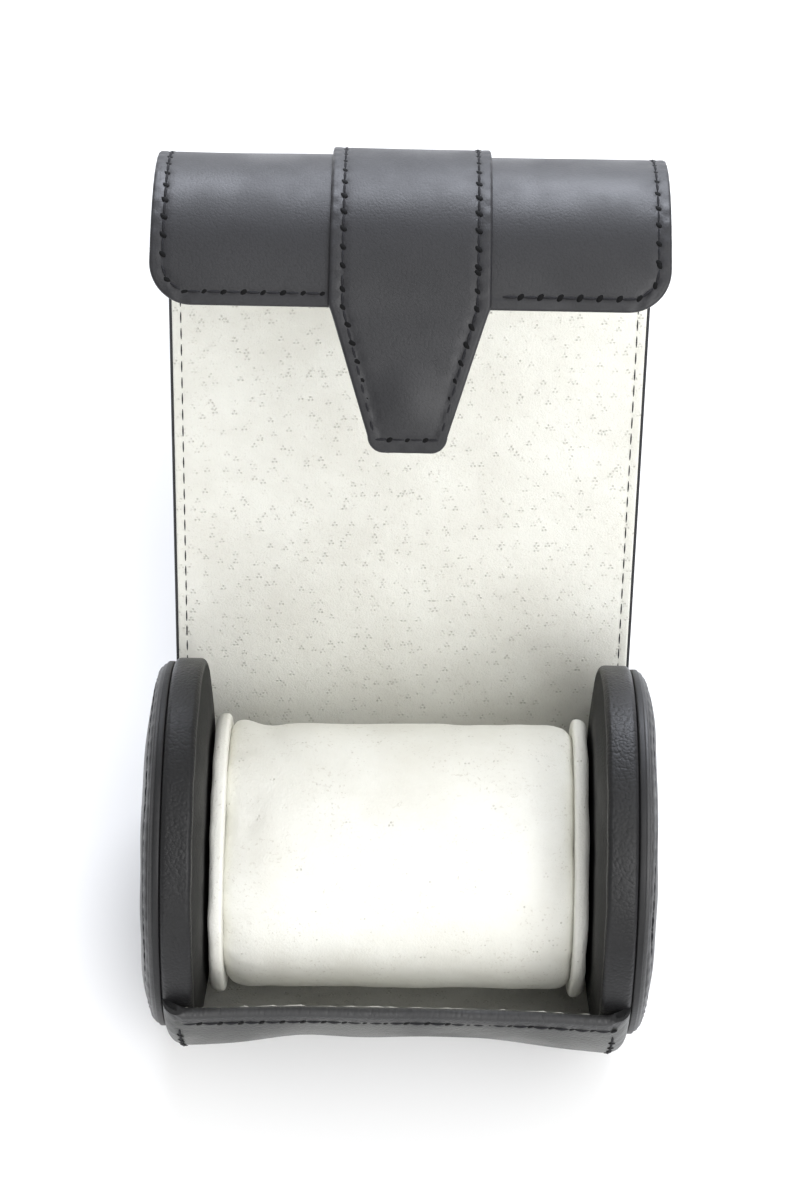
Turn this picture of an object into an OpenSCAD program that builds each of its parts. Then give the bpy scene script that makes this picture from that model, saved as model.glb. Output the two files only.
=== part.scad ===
// Round travel case for one wristwatch, standing open.
// A stiffened leather wall wraps two padded end blocks. Past the back of the wall the same
// leather becomes the lid, which leans back and curls forward at its top. A tongue on the lid
// closes on a hidden magnet in the wall. A suede bolster that holds the watch lies inside.
// X runs along the case, +Y to the back and +Z up. The origin is the middle of the flat base.

/* [Case wall] */
// Radius of the padded end blocks
end_r = 37.5; // [35:0.1:39]
// Clear width between the two end blocks
inner_w = 77; // [74:1:90]
// Thickness of an end block
block_t = 7.4; // [6:0.1:10]
// Radius that rounds an end block's inner rim
block_round = 4; // [2:0.1:5]
// Thickness of the pebbled leather over an end block
pad_skin = 1; // [0.6:0.1:1.6]
// Thickness of the outer leather
leather_t = 1.2; // [0.9:0.1:1.4]
// Thickness of the stiffening board in the wall
board_t = 1.2; // [1.1:0.1:1.8]
// Thickness of the suede lining
lining_t = 0.8; // [0.6:0.1:1.2]
// Half the width of the flat base
base_half = 19; // [17:0.5:20]
// Radius that turns the flat base into the round wall
base_corner = 7; // [6:0.1:8]
// Direction of the front lip as seen from the middle of the case, from the back over the top
lip_at = 164; // [158:1:168]

/* [End panels] */
// Thickness of the board in an outer end panel
panel_t = 1.6; // [1.2:0.1:2.4]
// How far the end panel's edge stays inside the end block's rim
panel_inset = 0.7; // [0.3:0.1:1.5]
// How far the padded face of an end panel stands out
dome_h = 4.6; // [3:0.1:6]

/* [Lid] */
// Width of the lid
lid_w = 95.2; // [93:0.1:98]
// Thickness of the suede inside the lid
lid_lining_t = 0.9; // [0.7:0.1:1.1]
// Angle of the open lid above the table
lid_lean = 52; // [48:0.5:56]
// Length of one of the five flat stretches of the lid
flat_len = 24.1; // [23:0.1:25]
// Length of each of the two stretches that start the curl
curl_len = 14.8; // [14.4:0.1:15.2]
// Length of the stretch over the top of the curl
crown_len = 22.7; // [22.3:0.1:23.1]
// Length of the flap at the lid's end
flap_len = 12.6; // [12:0.1:13.2]
// Radius that rounds the corners of the flap
flap_round = 5; // [3:0.5:8]
// Half the play between two stretches of the lid
fold_play = 0.4; // [0.4:0.05:0.5]

/* [Strap and tongue] */
// Width of the strap
strap_w = 29.6; // [26:0.1:34]
// Thickness of the strap
strap_t = 1.3; // [1:0.1:1.5]
// Thickness of the tongue's backing
backing_t = 1.1; // [0.9:0.1:1.3]
// Length of the tongue past the flap's edge
tongue_len = 27.5; // [24:0.1:29]
// Width of the tongue at its tip
tip_w = 14; // [10:0.1:18]
// Radius of the tongue's tip corners
tip_round = 3; // [2:0.1:4]
// Diameter of the hidden magnets
magnet_d = 10; // [8:0.5:12]
// Thickness of the hidden magnets
magnet_t = 0.8; // [0.6:0.1:0.8]

/* [Watch cushion] */
// Width of the cushion, front to back
cushion_w = 55.2; // [50:0.2:57]
// Height of the cushion
cushion_h = 46; // [42:0.2:50]
// Play between the cushion's ends and the end blocks
cushion_play = 1.8; // [1.2:0.1:3]
// Thickness of a cushion end disc
disc_t = 2.8; // [2:0.1:4]
// Thickness of the padding round the cushion's core
padding_t = 5; // [4.5:0.1:7]
// How much the cushion is drawn in along its middle, where the watch band pulls
waist = 0.9; // [0:0.1:1.5]

/* [Hidden] */
$fn = 96;

charcoal = [0.27, 0.27, 0.31];
pebbled = [0.22, 0.22, 0.24];
ivory = [0.92, 0.92, 0.88];
board_tan = [0.62, 0.55, 0.44];
foam_grey = [0.75, 0.75, 0.72];
steel = [0.7, 0.7, 0.72];

// Fit of an end block inside the lining
block_fit = 0.1;
lining_r = end_r + block_fit;
board_r = lining_r + lining_t;
leather_r = board_r + board_t;
wall_r = leather_r + leather_t;
block_x = inner_w / 2;
panel_x = block_x + block_t;
// The base corners' middles are the same for every layer of the wall
drop = sqrt(pow(wall_r - base_corner, 2) - pow(base_half, 2));
mid_z = drop + base_corner;
floor_z = wall_r - lining_r;
// Height of the rim round an end panel's padded face
face_rim = 0.6;
// Play at a pocket that holds a hidden magnet, or round the cushion's core
pocket_play = 0.1;

// The lid as a chain of stretches: [length, bend]. Five lie flat and four make the curl.
LID = [
    [flat_len, 0], [flat_len, 0], [flat_len, 0], [flat_len, 0], [flat_len, 0],
    [curl_len, 42.5], [curl_len, 42.5], [crown_len, 50], [flap_len, 18]
];
last = len(LID) - 1;
lid_t = leather_t + lid_lining_t;
// The hinge lines run in the middle of the lid's thickness
fold_r = wall_r - lid_t / 2;
root_at = lid_lean - 90;
// The tongue leaves the flap a little outward and is gently curved
tongue_lift = 8;
tongue_bend = 20;

function dir(a) = [cos(a), sin(a)];
function bend_sum(k) = k == 0 ? 0 : LID[k - 1][1] + bend_sum(k - 1);
function heading(k) = lid_lean + bend_sum(k);
function arc_r(length, bend) = length / bend * 180 / PI;
function chord(length, bend) = bend == 0 ? length : 2 * arc_r(length, bend) * sin(bend / 2);
function fold(k) = k == 0
    ? [0, mid_z] + fold_r * dir(root_at)
    : fold(k - 1) + chord(LID[k - 1][0], LID[k - 1][1]) * dir(heading(k - 1) + LID[k - 1][1] / 2);

// Where the closed tongue's magnet meets the wall, seen from the middle of the case
magnet_at = 218;
// Distance of the magnet from the tongue's tip
magnet_in = 10.5;

// ---- helpers ----

// Carries a drawing of the YZ plane along X, centred
module along_x(w) {
    rotate([90, 0, 90]) linear_extrude(w, center = true) children();
}

// A circle of radius r whose foot is flattened between two corners of radius r_corner.
// The first corner point lies a little outside the circle, so that the two cross cleanly.
module loaf(r, r_corner) {
    far = 3 * r;
    cross = 0.02;
    steps = 6;
    ray = atan2(-drop, base_half);
    corner = [for (i = [0 : steps]) [base_half, -drop]
        + (r_corner + (i == 0 ? cross : 0)) * dir(ray + i * (-90 - ray) / steps)];
    translate([0, mid_z]) intersection() {
        circle(r);
        polygon(concat([far * dir(ray)], corner,
                       [for (i = [steps : -1 : 0]) [-corner[i][0], corner[i][1]]],
                       [far * dir(180 - ray), [-far, far], [far, far]]));
    }
}

// The loaf drawn in by d from the outside of the wall
module loaf_in(d) {
    loaf(wall_r - d, base_corner - d);
}

// Everything below a line from the middle to the lip and a line from there to the lid's root
module wall_span(lip, root) {
    far = 3 * wall_r;
    translate([0, mid_z])
        polygon([[0, 0], far * dir(lip), far * dir(200), far * dir(270), far * dir(root)]);
}

// One layer of the wall between two depths below its outside
module wall_layer(d0, d1, w, lip) {
    along_x(w) intersection() {
        difference() {
            loaf_in(d0);
            loaf_in(d1);
        }
        wall_span(lip, root_at - 0.6);
    }
}

// A piece of a ring, drawn from angle a0 to a1
module ring_piece(r0, r1, a0, a1) {
    far = 2 * r1;
    intersection() {
        difference() {
            circle(r1);
            circle(r0);
        }
        polygon([[0, 0], far * dir(a0), far * dir((a0 + a1) / 2), far * dir(a1)]);
    }
}

// A stretch of sheet between two depths of the lid: t0 and t1 count outward from its middle
module stretch(p, a, length, bend, t0, t1, trim) {
    if (bend == 0) {
        translate(p) rotate(a) translate([trim, -t1]) square([length - 2 * trim, t1 - t0]);
    } else {
        r = arc_r(length, bend);
        cut = trim / length * bend;
        translate(p + r * dir(a + 90)) ring_piece(r + t0, r + t1, a - 90 + cut, a - 90 + bend - cut);
    }
}

module lid_sheet(k, t0, t1, w, trim) {
    along_x(w) stretch(fold(k), heading(k), LID[k][0], LID[k][1], t0, t1, trim);
}

// The flap's outline, laid on the last stretch: its two free corners are rounded
module flap_outline(w) {
    length = LID[last][0];
    reach = 8;
    translate([0, fold(last)[0], fold(last)[1]]) rotate([heading(last) + LID[last][1] / 2, 0, 0])
        linear_extrude(2 * reach, center = true) {
            translate([-w / 2, -reach]) square([w, length + reach - flap_round]);
            translate([-w / 2 + flap_round, -reach]) square([w - 2 * flap_round, length + reach + 1]);
            for (s = [-1, 1]) translate([s * (w / 2 - flap_round), length - flap_round])
                circle(flap_round, $fn = 48);
        }
}

// ---- case wall ----

module body_leather() {
    color(charcoal) wall_layer(0, leather_t, 2 * panel_x, lip_at - 2);
}

module body_board() {
    color(board_tan) difference() {
        wall_layer(leather_t, leather_t + board_t, 2 * (panel_x - 1), lip_at + 3);
        magnet_seat(leather_t, magnet_d / 2 + pocket_play, board_t + 1);
    }
}

module body_lining() {
    color(ivory) wall_layer(leather_t + board_t, wall_r - lining_r, 2 * panel_x, lip_at);
}

// A short cylinder sunk into the wall where the tongue's magnet lands
module magnet_seat(depth, r, t) {
    translate([0, 0, mid_z]) rotate([magnet_at - 90, 0, 0])
        translate([0, 0, wall_r - depth - t]) cylinder(r = r, h = t);
}

// The flat magnet's rim touches the curved leather, so its middle lies a little deeper
module wall_magnet() {
    depth = wall_r - sqrt(pow(leather_r, 2) - pow(magnet_d / 2, 2)) + 0.03;
    color(steel) magnet_seat(depth, magnet_d / 2, magnet_t);
}

// ---- padded end blocks, side s = -1 left, 1 right ----

// A disc on the case's middle line whose inner rim is rounded
module rounded_disc(r, t, round) {
    rotate([0, 90, 0]) rotate_extrude() {
        translate([0, 0]) square([r - round, t]);
        translate([0, round]) square([r, t - round]);
        translate([r - round, round]) circle(round, $fn = 48);
    }
}

module end_block(r, t, round) {
    intersection() {
        translate([t / 2, 0, 0]) along_x(t) loaf_in(wall_r - r);
        translate([0, 0, mid_z]) rounded_disc(r, t, round);
    }
}

module on_side(s, x) {
    mirror([s < 0 ? 1 : 0, 0, 0]) translate([x, 0, 0]) children();
}

module end_core(s) {
    color(board_tan) on_side(s, block_x + pad_skin)
        end_block(end_r - pad_skin, block_t - pad_skin, block_round - pad_skin);
}

module end_cover(s) {
    color(pebbled) on_side(s, block_x) difference() {
        end_block(end_r, block_t, block_round);
        translate([pad_skin, 0, 0])
            end_block(end_r - pad_skin, block_t, block_round - pad_skin);
    }
}

// ---- outer end panels ----

module panel_board(s) {
    color(pebbled) on_side(s, panel_x + panel_t / 2)
        along_x(panel_t) loaf_in(wall_r - end_r + panel_inset);
}

// The padded face: a short rim, then a shallow dome
module panel_cover(s) {
    r = end_r - panel_inset;
    rise = dome_h - face_rim;
    dome_r = (r * r + rise * rise) / (2 * rise);
    color(charcoal) on_side(s, panel_x + panel_t) intersection() {
        translate([dome_h / 2, 0, 0]) along_x(dome_h + 2) loaf_in(wall_r - r + face_rim / 2);
        translate([0, 0, mid_z]) rotate([0, 90, 0]) rotate_extrude() intersection() {
            translate([0, dome_h - dome_r]) circle(dome_r, $fn = 180);
            square([r, dome_h + 1]);
        }
    }
}

// ---- lid ----

module lid_leather(k) {
    color(charcoal) lid_sheet(k, lid_t / 2 - leather_t, lid_t / 2, lid_w, fold_play);
}

module lid_lining(k) {
    color(ivory) lid_sheet(k, -lid_t / 2, lid_t / 2 - leather_t, lid_w - 1, fold_play);
}

module flap_leather() {
    intersection() {
        lid_leather(last);
        flap_outline(lid_w);
    }
}

module flap_lining() {
    intersection() {
        lid_lining(last);
        flap_outline(lid_w - 1);
    }
}

// ---- strap and tongue ----

// The strap's stretches need more play where the lid bends back on itself
strap_trim = [0.4, 0.4, 0.4, 0.4, 0.4, 0.6, 0.7, 0.7, 0.7];
tongue_trim = 0.8;
backing_trim = 0.45;

module strap(k) {
    color(charcoal) lid_sheet(k, lid_t / 2, lid_t / 2 + strap_t, strap_w, strap_trim[k]);
}

tongue_root = fold(last + 1);
tongue_a = heading(last) + LID[last][1] - tongue_lift;
tongue_mid = tongue_a + tongue_bend / 2;
// The tongue's two layers meet at this height above the middle of the lid's thickness
tongue_joint = lid_t / 2;

// Outline of the tongue: straight sides that taper to a tip with round corners
module tongue_outline() {
    w0 = strap_w - 1.2;
    run = tongue_len - tip_round;
    cx = tip_w / 2 - tip_round;
    slope = atan2(w0 / 2 - tip_w / 2, run);
    corner = [for (i = [0 : 6]) let (a = slope + i * (90 - slope) / 6)
        [cx + tip_round * cos(a), run + tip_round * sin(a)]];
    polygon(concat([[-w0 / 2, -1], [w0 / 2, -1], [w0 / 2, 0]], corner,
                   [for (i = [6 : -1 : 0]) [-corner[i][0], corner[i][1]]], [[-w0 / 2, 0]]));
}

module tongue_sheet(t0, t1, trim) {
    reach = 12;
    intersection() {
        along_x(strap_w) stretch(tongue_root, tongue_a, tongue_len * 1.2, tongue_bend * 1.2, t0, t1, trim);
        translate([0, tongue_root[0], tongue_root[1]]) rotate([tongue_mid, 0, 0])
            linear_extrude(2 * reach, center = true) tongue_outline();
    }
}

// The magnet's place: a disc square to the tongue, magnet_in from its tip
module tongue_disc(r, t) {
    s = tongue_len - magnet_in;
    ar = arc_r(tongue_len, tongue_bend);
    a = tongue_a + tongue_bend * s / tongue_len;
    c = tongue_root + ar * dir(tongue_a + 90) + (ar + tongue_joint) * dir(a - 90);
    translate([0, c[0], c[1]]) rotate([a, 0, 0]) cylinder(r = r, h = t, center = true);
}
module tongue_leather() {
    color(charcoal) difference() {
        tongue_sheet(tongue_joint, tongue_joint + strap_t, tongue_trim);
        tongue_disc(magnet_d / 2 + pocket_play, magnet_t + 0.1);
    }
}

module tongue_backing() {
    color(charcoal) difference() {
        tongue_sheet(tongue_joint - backing_t, tongue_joint, backing_trim);
        tongue_disc(magnet_d / 2 + pocket_play, magnet_t + 0.1);
    }
}

module tongue_magnet() {
    color(steel) tongue_disc(magnet_d / 2, magnet_t);
}

// ---- watch cushion ----

cushion_half = inner_w / 2 - cushion_play;
bolster_half = cushion_half - disc_t - 0.2;
cushion_z = floor_z + 0.3 + cushion_h / 2;
around = 36;
edge_round = 4;

// A point of the cushion's oval section: between an ellipse and a box with round corners
function squircle(c) = (c < 0 ? -1 : 1) * pow(abs(c), 0.86);
function oval(a, w, h) = [squircle(cos(a)) * w / 2, squircle(sin(a)) * h / 2];

// How far the bolster's surface is drawn in at x: round end edges and a shallow waist
function drawn_in(x) =
    let (e = abs(x) - (bolster_half - edge_round))
    (e > 0 ? edge_round - sqrt(max(0, edge_round * edge_round - e * e)) : 0)
    + waist * pow(cos(min(90, abs(x) / (0.8 * bolster_half) * 90)), 2);

// A closed skin over rings: one ring of the oval for each [x, inset]
module oval_skin(rings, w, h) {
    n = len(rings);
    points = [for (g = rings) for (i = [0 : around - 1])
        let (p = oval(i * 360 / around, w - 2 * g[1], h - 2 * g[1])) [g[0], p[0], p[1] + cushion_z]];
    sides = [for (j = [0 : n - 2]) for (i = [0 : around - 1])
        let (a = j * around + i, b = j * around + (i + 1) % around)
        each [[a, b, b + around], [a, b + around, a + around]]];
    caps = [[for (i = [around - 1 : -1 : 0]) i], [for (i = [0 : around - 1]) (n - 1) * around + i]];
    polyhedron(points, concat(sides, caps));
}

module core_tunnel(w, h, length) {
    along_x(length) translate([0, cushion_z])
        polygon([for (i = [0 : around - 1]) oval(i * 360 / around, w, h)]);
}

module cushion_core() {
    color(foam_grey) core_tunnel(cushion_w - 2 * padding_t, cushion_h - 2 * padding_t, 2 * bolster_half);
}

module cushion_cover() {
    ends = [for (e = [0, 0.15, 0.5, 1.1, 2, 3]) bolster_half - e];
    xs = concat([for (i = [5 : -1 : 0]) -ends[5 - i]], [-22, -14, -6, 0, 6, 14, 22],
                [for (i = [5 : -1 : 0]) ends[i]]);
    color(ivory) difference() {
        oval_skin([for (x = xs) [x, drawn_in(x)]], cushion_w, cushion_h);
        core_tunnel(cushion_w - 2 * padding_t + 2 * pocket_play,
                    cushion_h - 2 * padding_t + 2 * pocket_play, 2 * cushion_half);
    }
}

module cushion_disc(s) {
    r = 1.2;
    rings = [for (a = [0, 30, 60, 90]) [cushion_half - disc_t + r * (1 - sin(a)), r * (1 - cos(a))]];
    color(ivory) mirror([s < 0 ? 1 : 0, 0, 0]) oval_skin(
        concat([for (i = [3 : -1 : 0]) rings[i]],
               [for (i = [0 : 3]) [2 * cushion_half - disc_t - rings[i][0], rings[i][1]]]),
        cushion_w + 0.4, cushion_h);
}

// ---- nodes ----

body_leather();
body_board();
body_lining();
end_core(-1);  // left_end_core
end_cover(-1);  // left_end_cover
panel_board(-1);  // left_panel_board
panel_cover(-1);  // left_panel_cover
end_core(1);  // right_end_core
end_cover(1);  // right_end_cover
panel_board(1);  // right_panel_board
panel_cover(1);  // right_panel_cover
wall_magnet();
lid_leather(0);  // lid_leather_1
lid_leather(1);  // lid_leather_2
lid_leather(2);  // lid_leather_3
lid_leather(3);  // lid_leather_4
lid_leather(4);  // lid_leather_5
lid_leather(5);  // lid_leather_6
lid_leather(6);  // lid_leather_7
lid_leather(7);  // lid_leather_8
flap_leather();
lid_lining(0);  // lid_lining_1
lid_lining(1);  // lid_lining_2
lid_lining(2);  // lid_lining_3
lid_lining(3);  // lid_lining_4
lid_lining(4);  // lid_lining_5
lid_lining(5);  // lid_lining_6
lid_lining(6);  // lid_lining_7
lid_lining(7);  // lid_lining_8
flap_lining();
strap(2);  // strap_3
strap(3);  // strap_4
strap(4);  // strap_5
strap(5);  // strap_6
strap(6);  // strap_7
strap(7);  // strap_8
strap(8);  // strap_9
tongue_leather();
tongue_backing();
tongue_magnet();
cushion_core();
cushion_cover();
cushion_disc(-1);  // left_cushion_disc
cushion_disc(1);  // right_cushion_disc
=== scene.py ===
# %% [markdown]
# # Round leather travel case with a lid that rolls shut
# A wall of leather over board wraps two padded end blocks. The same leather runs on past the
# back as a lid that leans back and curls forward, with a strap and a tongue. A suede bolster
# lies inside. The CAD model gives every place and size, and this script dresses it: each piece
# is a surface worked out with numpy, in millimetres, and made a mesh in metres.

# %% Load the frame
import math

import bmesh
import bpy
import mathutils
import numpy as np
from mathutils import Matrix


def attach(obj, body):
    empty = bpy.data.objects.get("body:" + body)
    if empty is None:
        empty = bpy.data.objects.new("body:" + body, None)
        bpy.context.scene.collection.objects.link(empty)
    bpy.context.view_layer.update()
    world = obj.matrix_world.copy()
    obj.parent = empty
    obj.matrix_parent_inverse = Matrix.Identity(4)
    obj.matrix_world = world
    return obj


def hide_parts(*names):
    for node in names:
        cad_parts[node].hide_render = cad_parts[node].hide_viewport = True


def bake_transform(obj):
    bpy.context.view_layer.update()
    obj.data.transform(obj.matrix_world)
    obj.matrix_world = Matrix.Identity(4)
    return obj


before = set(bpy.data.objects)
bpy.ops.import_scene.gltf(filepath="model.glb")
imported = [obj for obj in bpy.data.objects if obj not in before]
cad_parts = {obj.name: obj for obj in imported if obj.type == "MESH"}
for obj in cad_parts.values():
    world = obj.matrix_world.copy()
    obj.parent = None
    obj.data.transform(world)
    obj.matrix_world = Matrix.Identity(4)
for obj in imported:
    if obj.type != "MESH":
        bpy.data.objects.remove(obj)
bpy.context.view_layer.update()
MM = 0.001


# %% [markdown]
# ## The trail that the leather follows
# Leather and lining are one long sheet seen from the side, so the case is drawn as a trail: a
# path in the YZ plane made of legs that each have a length and a turn. A point of a piece is
# then a distance s along the trail and a height t above it, on the outside. A Bezier curve
# with a bevel could do the same, but numbers keep the pieces exactly on their CAD hinges.

# %% Trails
CREST_AT, CREST_WIDE, CREST_SAG = 142.0, 15.0, 1.3


def stack(*parts):
    """Points from their coordinates: arrays or numbers, each repeated to the common shape."""
    return np.stack(np.broadcast_arrays(*parts), -1)


class Trail:
    """Running sums: heading adds up the turn, and place adds up the heading's direction."""

    def __init__(self, start, heading, legs, zero=0.0, step=0.05, sag=0.0):
        counts = [int(round(leg[0] / step)) for leg in legs]
        length, turn = (np.concatenate([np.full(n, leg[i] / n) for n, leg in zip(counts, legs)])
                        for i in (0, 1))
        middle = np.radians(heading + np.cumsum(turn) - turn / 2)
        self.sag = sag
        self.s = np.concatenate([[0], np.cumsum(length)]) - zero
        self.h = np.radians(heading + np.concatenate([[0], np.cumsum(turn)]))
        self.y = start[0] + np.concatenate([[0], np.cumsum(length * np.cos(middle))])
        self.z = start[1] + np.concatenate([[0], np.cumsum(length * np.sin(middle))])

    def at(self, s, t=0.0):
        """Place (y, z) and heading h at distance s: the trail's point plus t times its outward
        normal (sin h, -cos h). A sagging trail is lower round its crest, by a bell curve."""
        h = np.interp(s, self.s, self.h)
        t = t - self.sag * np.exp(-(((s - CREST_AT) / CREST_WIDE) ** 2))
        y = np.interp(s, self.s, self.y) + t * np.sin(h)
        z = np.interp(s, self.s, self.z) - t * np.cos(h)
        return y, z, h


def place(trail, x, s, t):
    """Grid of points (x, y, z) in millimetres from x across, s along and t above a trail."""
    y, z, _ = trail.at(s, t)
    return stack(x, y, z)


print("a crest sags by", CREST_SAG, "mm")

# %% [markdown]
# The measures come from the CAD model. Seen from the side, the case is a circle with a flat foot
# and two small round corners. The wall covers most of it, from the lip at the front to the back,
# where the lid begins. The loaf trail runs all the way round, for the ends. The lid's trail starts
# a little before its first hinge line, so that leather and wall can overlap there.

# %% Trails of the wall, the ends and the lid
WALL_R, CORNER_R, BASE_HALF = 40.8, 7.0, 19.0
DROP = math.sqrt((WALL_R - CORNER_R) ** 2 - BASE_HALF ** 2)
MID_Z = DROP + CORNER_R
RAY = math.degrees(math.atan2(DROP, BASE_HALF))
LEATHER, LID_LINING = 1.2, 0.9
HALF_LID = (LEATHER + LID_LINING) / 2
LEAN, LIP = 52.0, 163.3
FOLD_R = WALL_R - HALF_LID
LID_LEGS = [(24.1, 0)] * 5 + [(14.8, 42.5)] * 2 + [(22.7, 50.0), (12.6, 18.0)]
FOLDS = np.concatenate([[0], np.cumsum([leg[0] for leg in LID_LEGS])])
LID_END = FOLDS[-1]


def on_circle(r, a):
    """Point (y, z) at the angle a, in degrees, on a circle about the ends' middle."""
    return r * math.cos(math.radians(a)), MID_Z + r * math.sin(math.radians(a))


def arc(r, a):
    """A leg of a circle: its length is the radius times the turn."""
    return r * math.radians(a), a


corner, foot = arc(CORNER_R, 90 - RAY), (2 * BASE_HALF, 0.0)
wall_trail = Trail(on_circle(WALL_R, LIP), LIP + 90, [
    arc(WALL_R, 180 + RAY - LIP), corner, foot, corner, arc(WALL_R, LEAN - 90 + RAY)])
loaf_trail = Trail(on_circle(WALL_R, -RAY), 90 - RAY, [
    arc(WALL_R, 180 + 2 * RAY), corner, foot, corner])
WALL_END, LOAF_LEN = wall_trail.s[-1], loaf_trail.s[-1]
LEAD = 8.0
LEAD_TURN = math.degrees(LEAD / FOLD_R)
lid_trail = Trail(on_circle(FOLD_R, LEAN - 90 - LEAD_TURN), LEAN - LEAD_TURN,
                  [(LEAD, LEAD_TURN)] + LID_LEGS, zero=LEAD, sag=CREST_SAG)
print("lid length", round(LID_END, 2), "wall length", round(WALL_END, 2))


# %% [markdown]
# ## Turning grids into meshes
# A grid of points becomes quads. Two grids, a top and a bottom, become a closed slab: the rim
# between them is filled in, and points that coincide are merged. Every mesh also gets a UV map
# called lay, in metres along the surface, so that grain and pores keep their real size and
# stay on the leather when it bends.

# %% From points to a mesh
def grid_faces(rows, cols, start=0, flip=False):
    """Quads of a grid of rows by cols points, counted from start."""
    a = start + (np.arange(rows - 1)[:, None] * cols + np.arange(cols - 1)).ravel()
    quads = np.stack([a, a + 1, a + cols + 1, a + cols], -1)
    return quads[:, ::-1] if flip else quads


def volume(points, faces):
    """Signed volume: a sixth of the sum of triple products over the faces' triangles."""
    p = points[faces]
    one = np.einsum("ij,ij->i", p[:, 0], np.cross(p[:, 1], p[:, 2]))
    two = np.einsum("ij,ij->i", p[:, 0], np.cross(p[:, 2], p[:, 3]))
    return (one.sum() + two.sum()) / 6


def make_piece(name, points, faces, uv, smooth_angle=35, merge=True):
    """Mesh object from points (mm), quads and a lay coordinate (mm) for each point."""
    points = np.asarray(points, float).reshape(-1, 3)
    if volume(points - points.mean(0), faces) < 0:
        faces = faces[:, ::-1]
    mesh = bpy.data.meshes.new(name)
    mesh.from_pydata((points * MM).tolist(), [], faces.tolist())
    layer = mesh.uv_layers.new(name="lay")
    corners = np.empty(len(mesh.loops), np.int32)
    mesh.loops.foreach_get("vertex_index", corners)
    lay = np.asarray(uv, float).reshape(-1, 2)[corners] * MM
    layer.data.foreach_set("uv", lay.astype(np.float32).ravel())
    if merge:
        bm = bmesh.new()
        bm.from_mesh(mesh)
        bmesh.ops.remove_doubles(bm, verts=bm.verts, dist=2e-6)
        bmesh.ops.dissolve_degenerate(bm, edges=bm.edges, dist=1e-7)
        bm.to_mesh(mesh)
        bm.free()
    mesh.shade_smooth()
    mesh.set_sharp_from_angle(angle=math.radians(smooth_angle))
    piece = bpy.data.objects.new(name, mesh)
    bpy.context.scene.collection.objects.link(piece)
    return piece


print("a grid of 3 by 4 points has", len(grid_faces(3, 4)), "quads")


# %% Slabs and tubes
def slab(name, top, bottom, uv):
    """Closed slab between two grids: both faces, and the rim between their four edges."""
    rows, cols = top.shape[:2]
    n = rows * cols
    i = np.arange(n).reshape(rows, cols)
    ring = np.concatenate([i[0, :-1], i[:-1, -1], i[-1, :0:-1], i[:0:-1, 0]])
    after = np.roll(ring, -1)
    rim = np.stack([ring, ring + n, after + n, after], -1)
    faces = np.concatenate([grid_faces(rows, cols), grid_faces(rows, cols, n, flip=True), rim])
    points = np.concatenate([top.reshape(-1, 3), bottom.reshape(-1, 3)])
    return make_piece(name, points, faces, np.concatenate([uv.reshape(-1, 2)] * 2))


def swept(name, loops, uv):
    """Closed tube from a grid of loops (rows of closed outlines), with a flat cap at each end."""
    rows, cols = loops.shape[:2]
    loops = np.concatenate([loops, loops[:, :1]], 1)
    uv = np.concatenate([uv, uv[:, -1:] + (uv[:, -1:] - uv[:, -2:-1])], 1)
    points, lay = loops.reshape(-1, 3), uv.reshape(-1, 2)
    faces = [grid_faces(rows, cols + 1)]
    for end, flip in ((0, True), (rows - 1, False)):
        middle = loops[end, :-1].mean(0)
        ring = end * (cols + 1) + np.arange(cols)
        inner = len(points) + np.arange(cols + 1)
        points = np.concatenate([points, np.repeat(middle[None], cols + 1, 0)])
        lay = np.concatenate([lay, np.repeat(uv[end].mean(0)[None], cols + 1, 0)])
        cap = np.stack([ring, ring + 1, inner[1:], inner[:-1]], -1)
        faces.append(cap[:, ::-1] if flip else cap)
    return make_piece(name, points, np.concatenate(faces), lay)


# %% [markdown]
# Three small formulas shape most surfaces: a smooth step where something begins or ends, a bell
# curve for a groove or a bulge, and low hills, because no leather or stuffing lies quite even.
# Sculpting by hand would do as well, but it wouldn't come out the same at each run.

# %% Steps, bells and hills
def ramp(x, a, b):
    """Smooth step: 0 below a, 1 above b, three x squared less two x cubed between."""
    u = np.clip((np.asarray(x, float) - a) / (b - a), 0, 1)
    return u * u * (3 - 2 * u)


def bell(x, middle, width):
    """Bell curve: e to the power of minus the distance over the width, squared."""
    return np.exp(-(((x - middle) / width) ** 2))


def hills(x, y, size, seed, parts=7):
    """Gentle unevenness, mostly between -1 and 1: a sum of sine waves in random directions."""
    rng = np.random.default_rng(seed)
    turn, phase = rng.uniform(0, 2 * np.pi, parts), rng.uniform(0, 2 * np.pi, parts)
    wave = rng.uniform(0.6, 1.7, parts) * 2 * np.pi / size
    return sum(np.sin(w * (np.cos(a) * x + np.sin(a) * y) + p)
               for w, a, p in zip(wave, turn, phase)) / math.sqrt(parts)


print("hills reach", round(float(np.abs(hills(*np.mgrid[0:90:2, 0:90:2], 30, 11)).max()), 2))


# %% [markdown]
# ## Thread
# A saddle stitch shows as a row of short, slightly arched lengths of thread that dive into the
# leather at both ends. One stitch is a small spindle of a few dozen faces, and numpy places it
# along every seam at once.

# %% One stitch and rows of it
RINGS, SIDES = 7, 6
# A slit is a flat, nearly black lens beside each stitch: painted shade inside the awl's hole.
SHADED_SLIT = dict(length=1.6, thick=0.48, rise=0.0, sink=0.02, flat=0.28)
SHADED_SLIT_LAY = 1000.0


def unit(v):
    """Vectors divided by their length."""
    return v / np.linalg.norm(v, axis=-1, keepdims=True)


def spindle():
    """One stitch along the first axis: a tube whose radius and height follow a half sine."""
    u = np.linspace(0, 1, RINGS)[:, None]
    a = np.arange(SIDES) * np.pi / (SIDES / 2)
    r = np.sin(np.clip(u, 0.03, 0.97) * np.pi) ** 0.4
    return stack(u - 0.5, r * np.cos(a), r * np.sin(a)), np.sin(u * np.pi)


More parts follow.
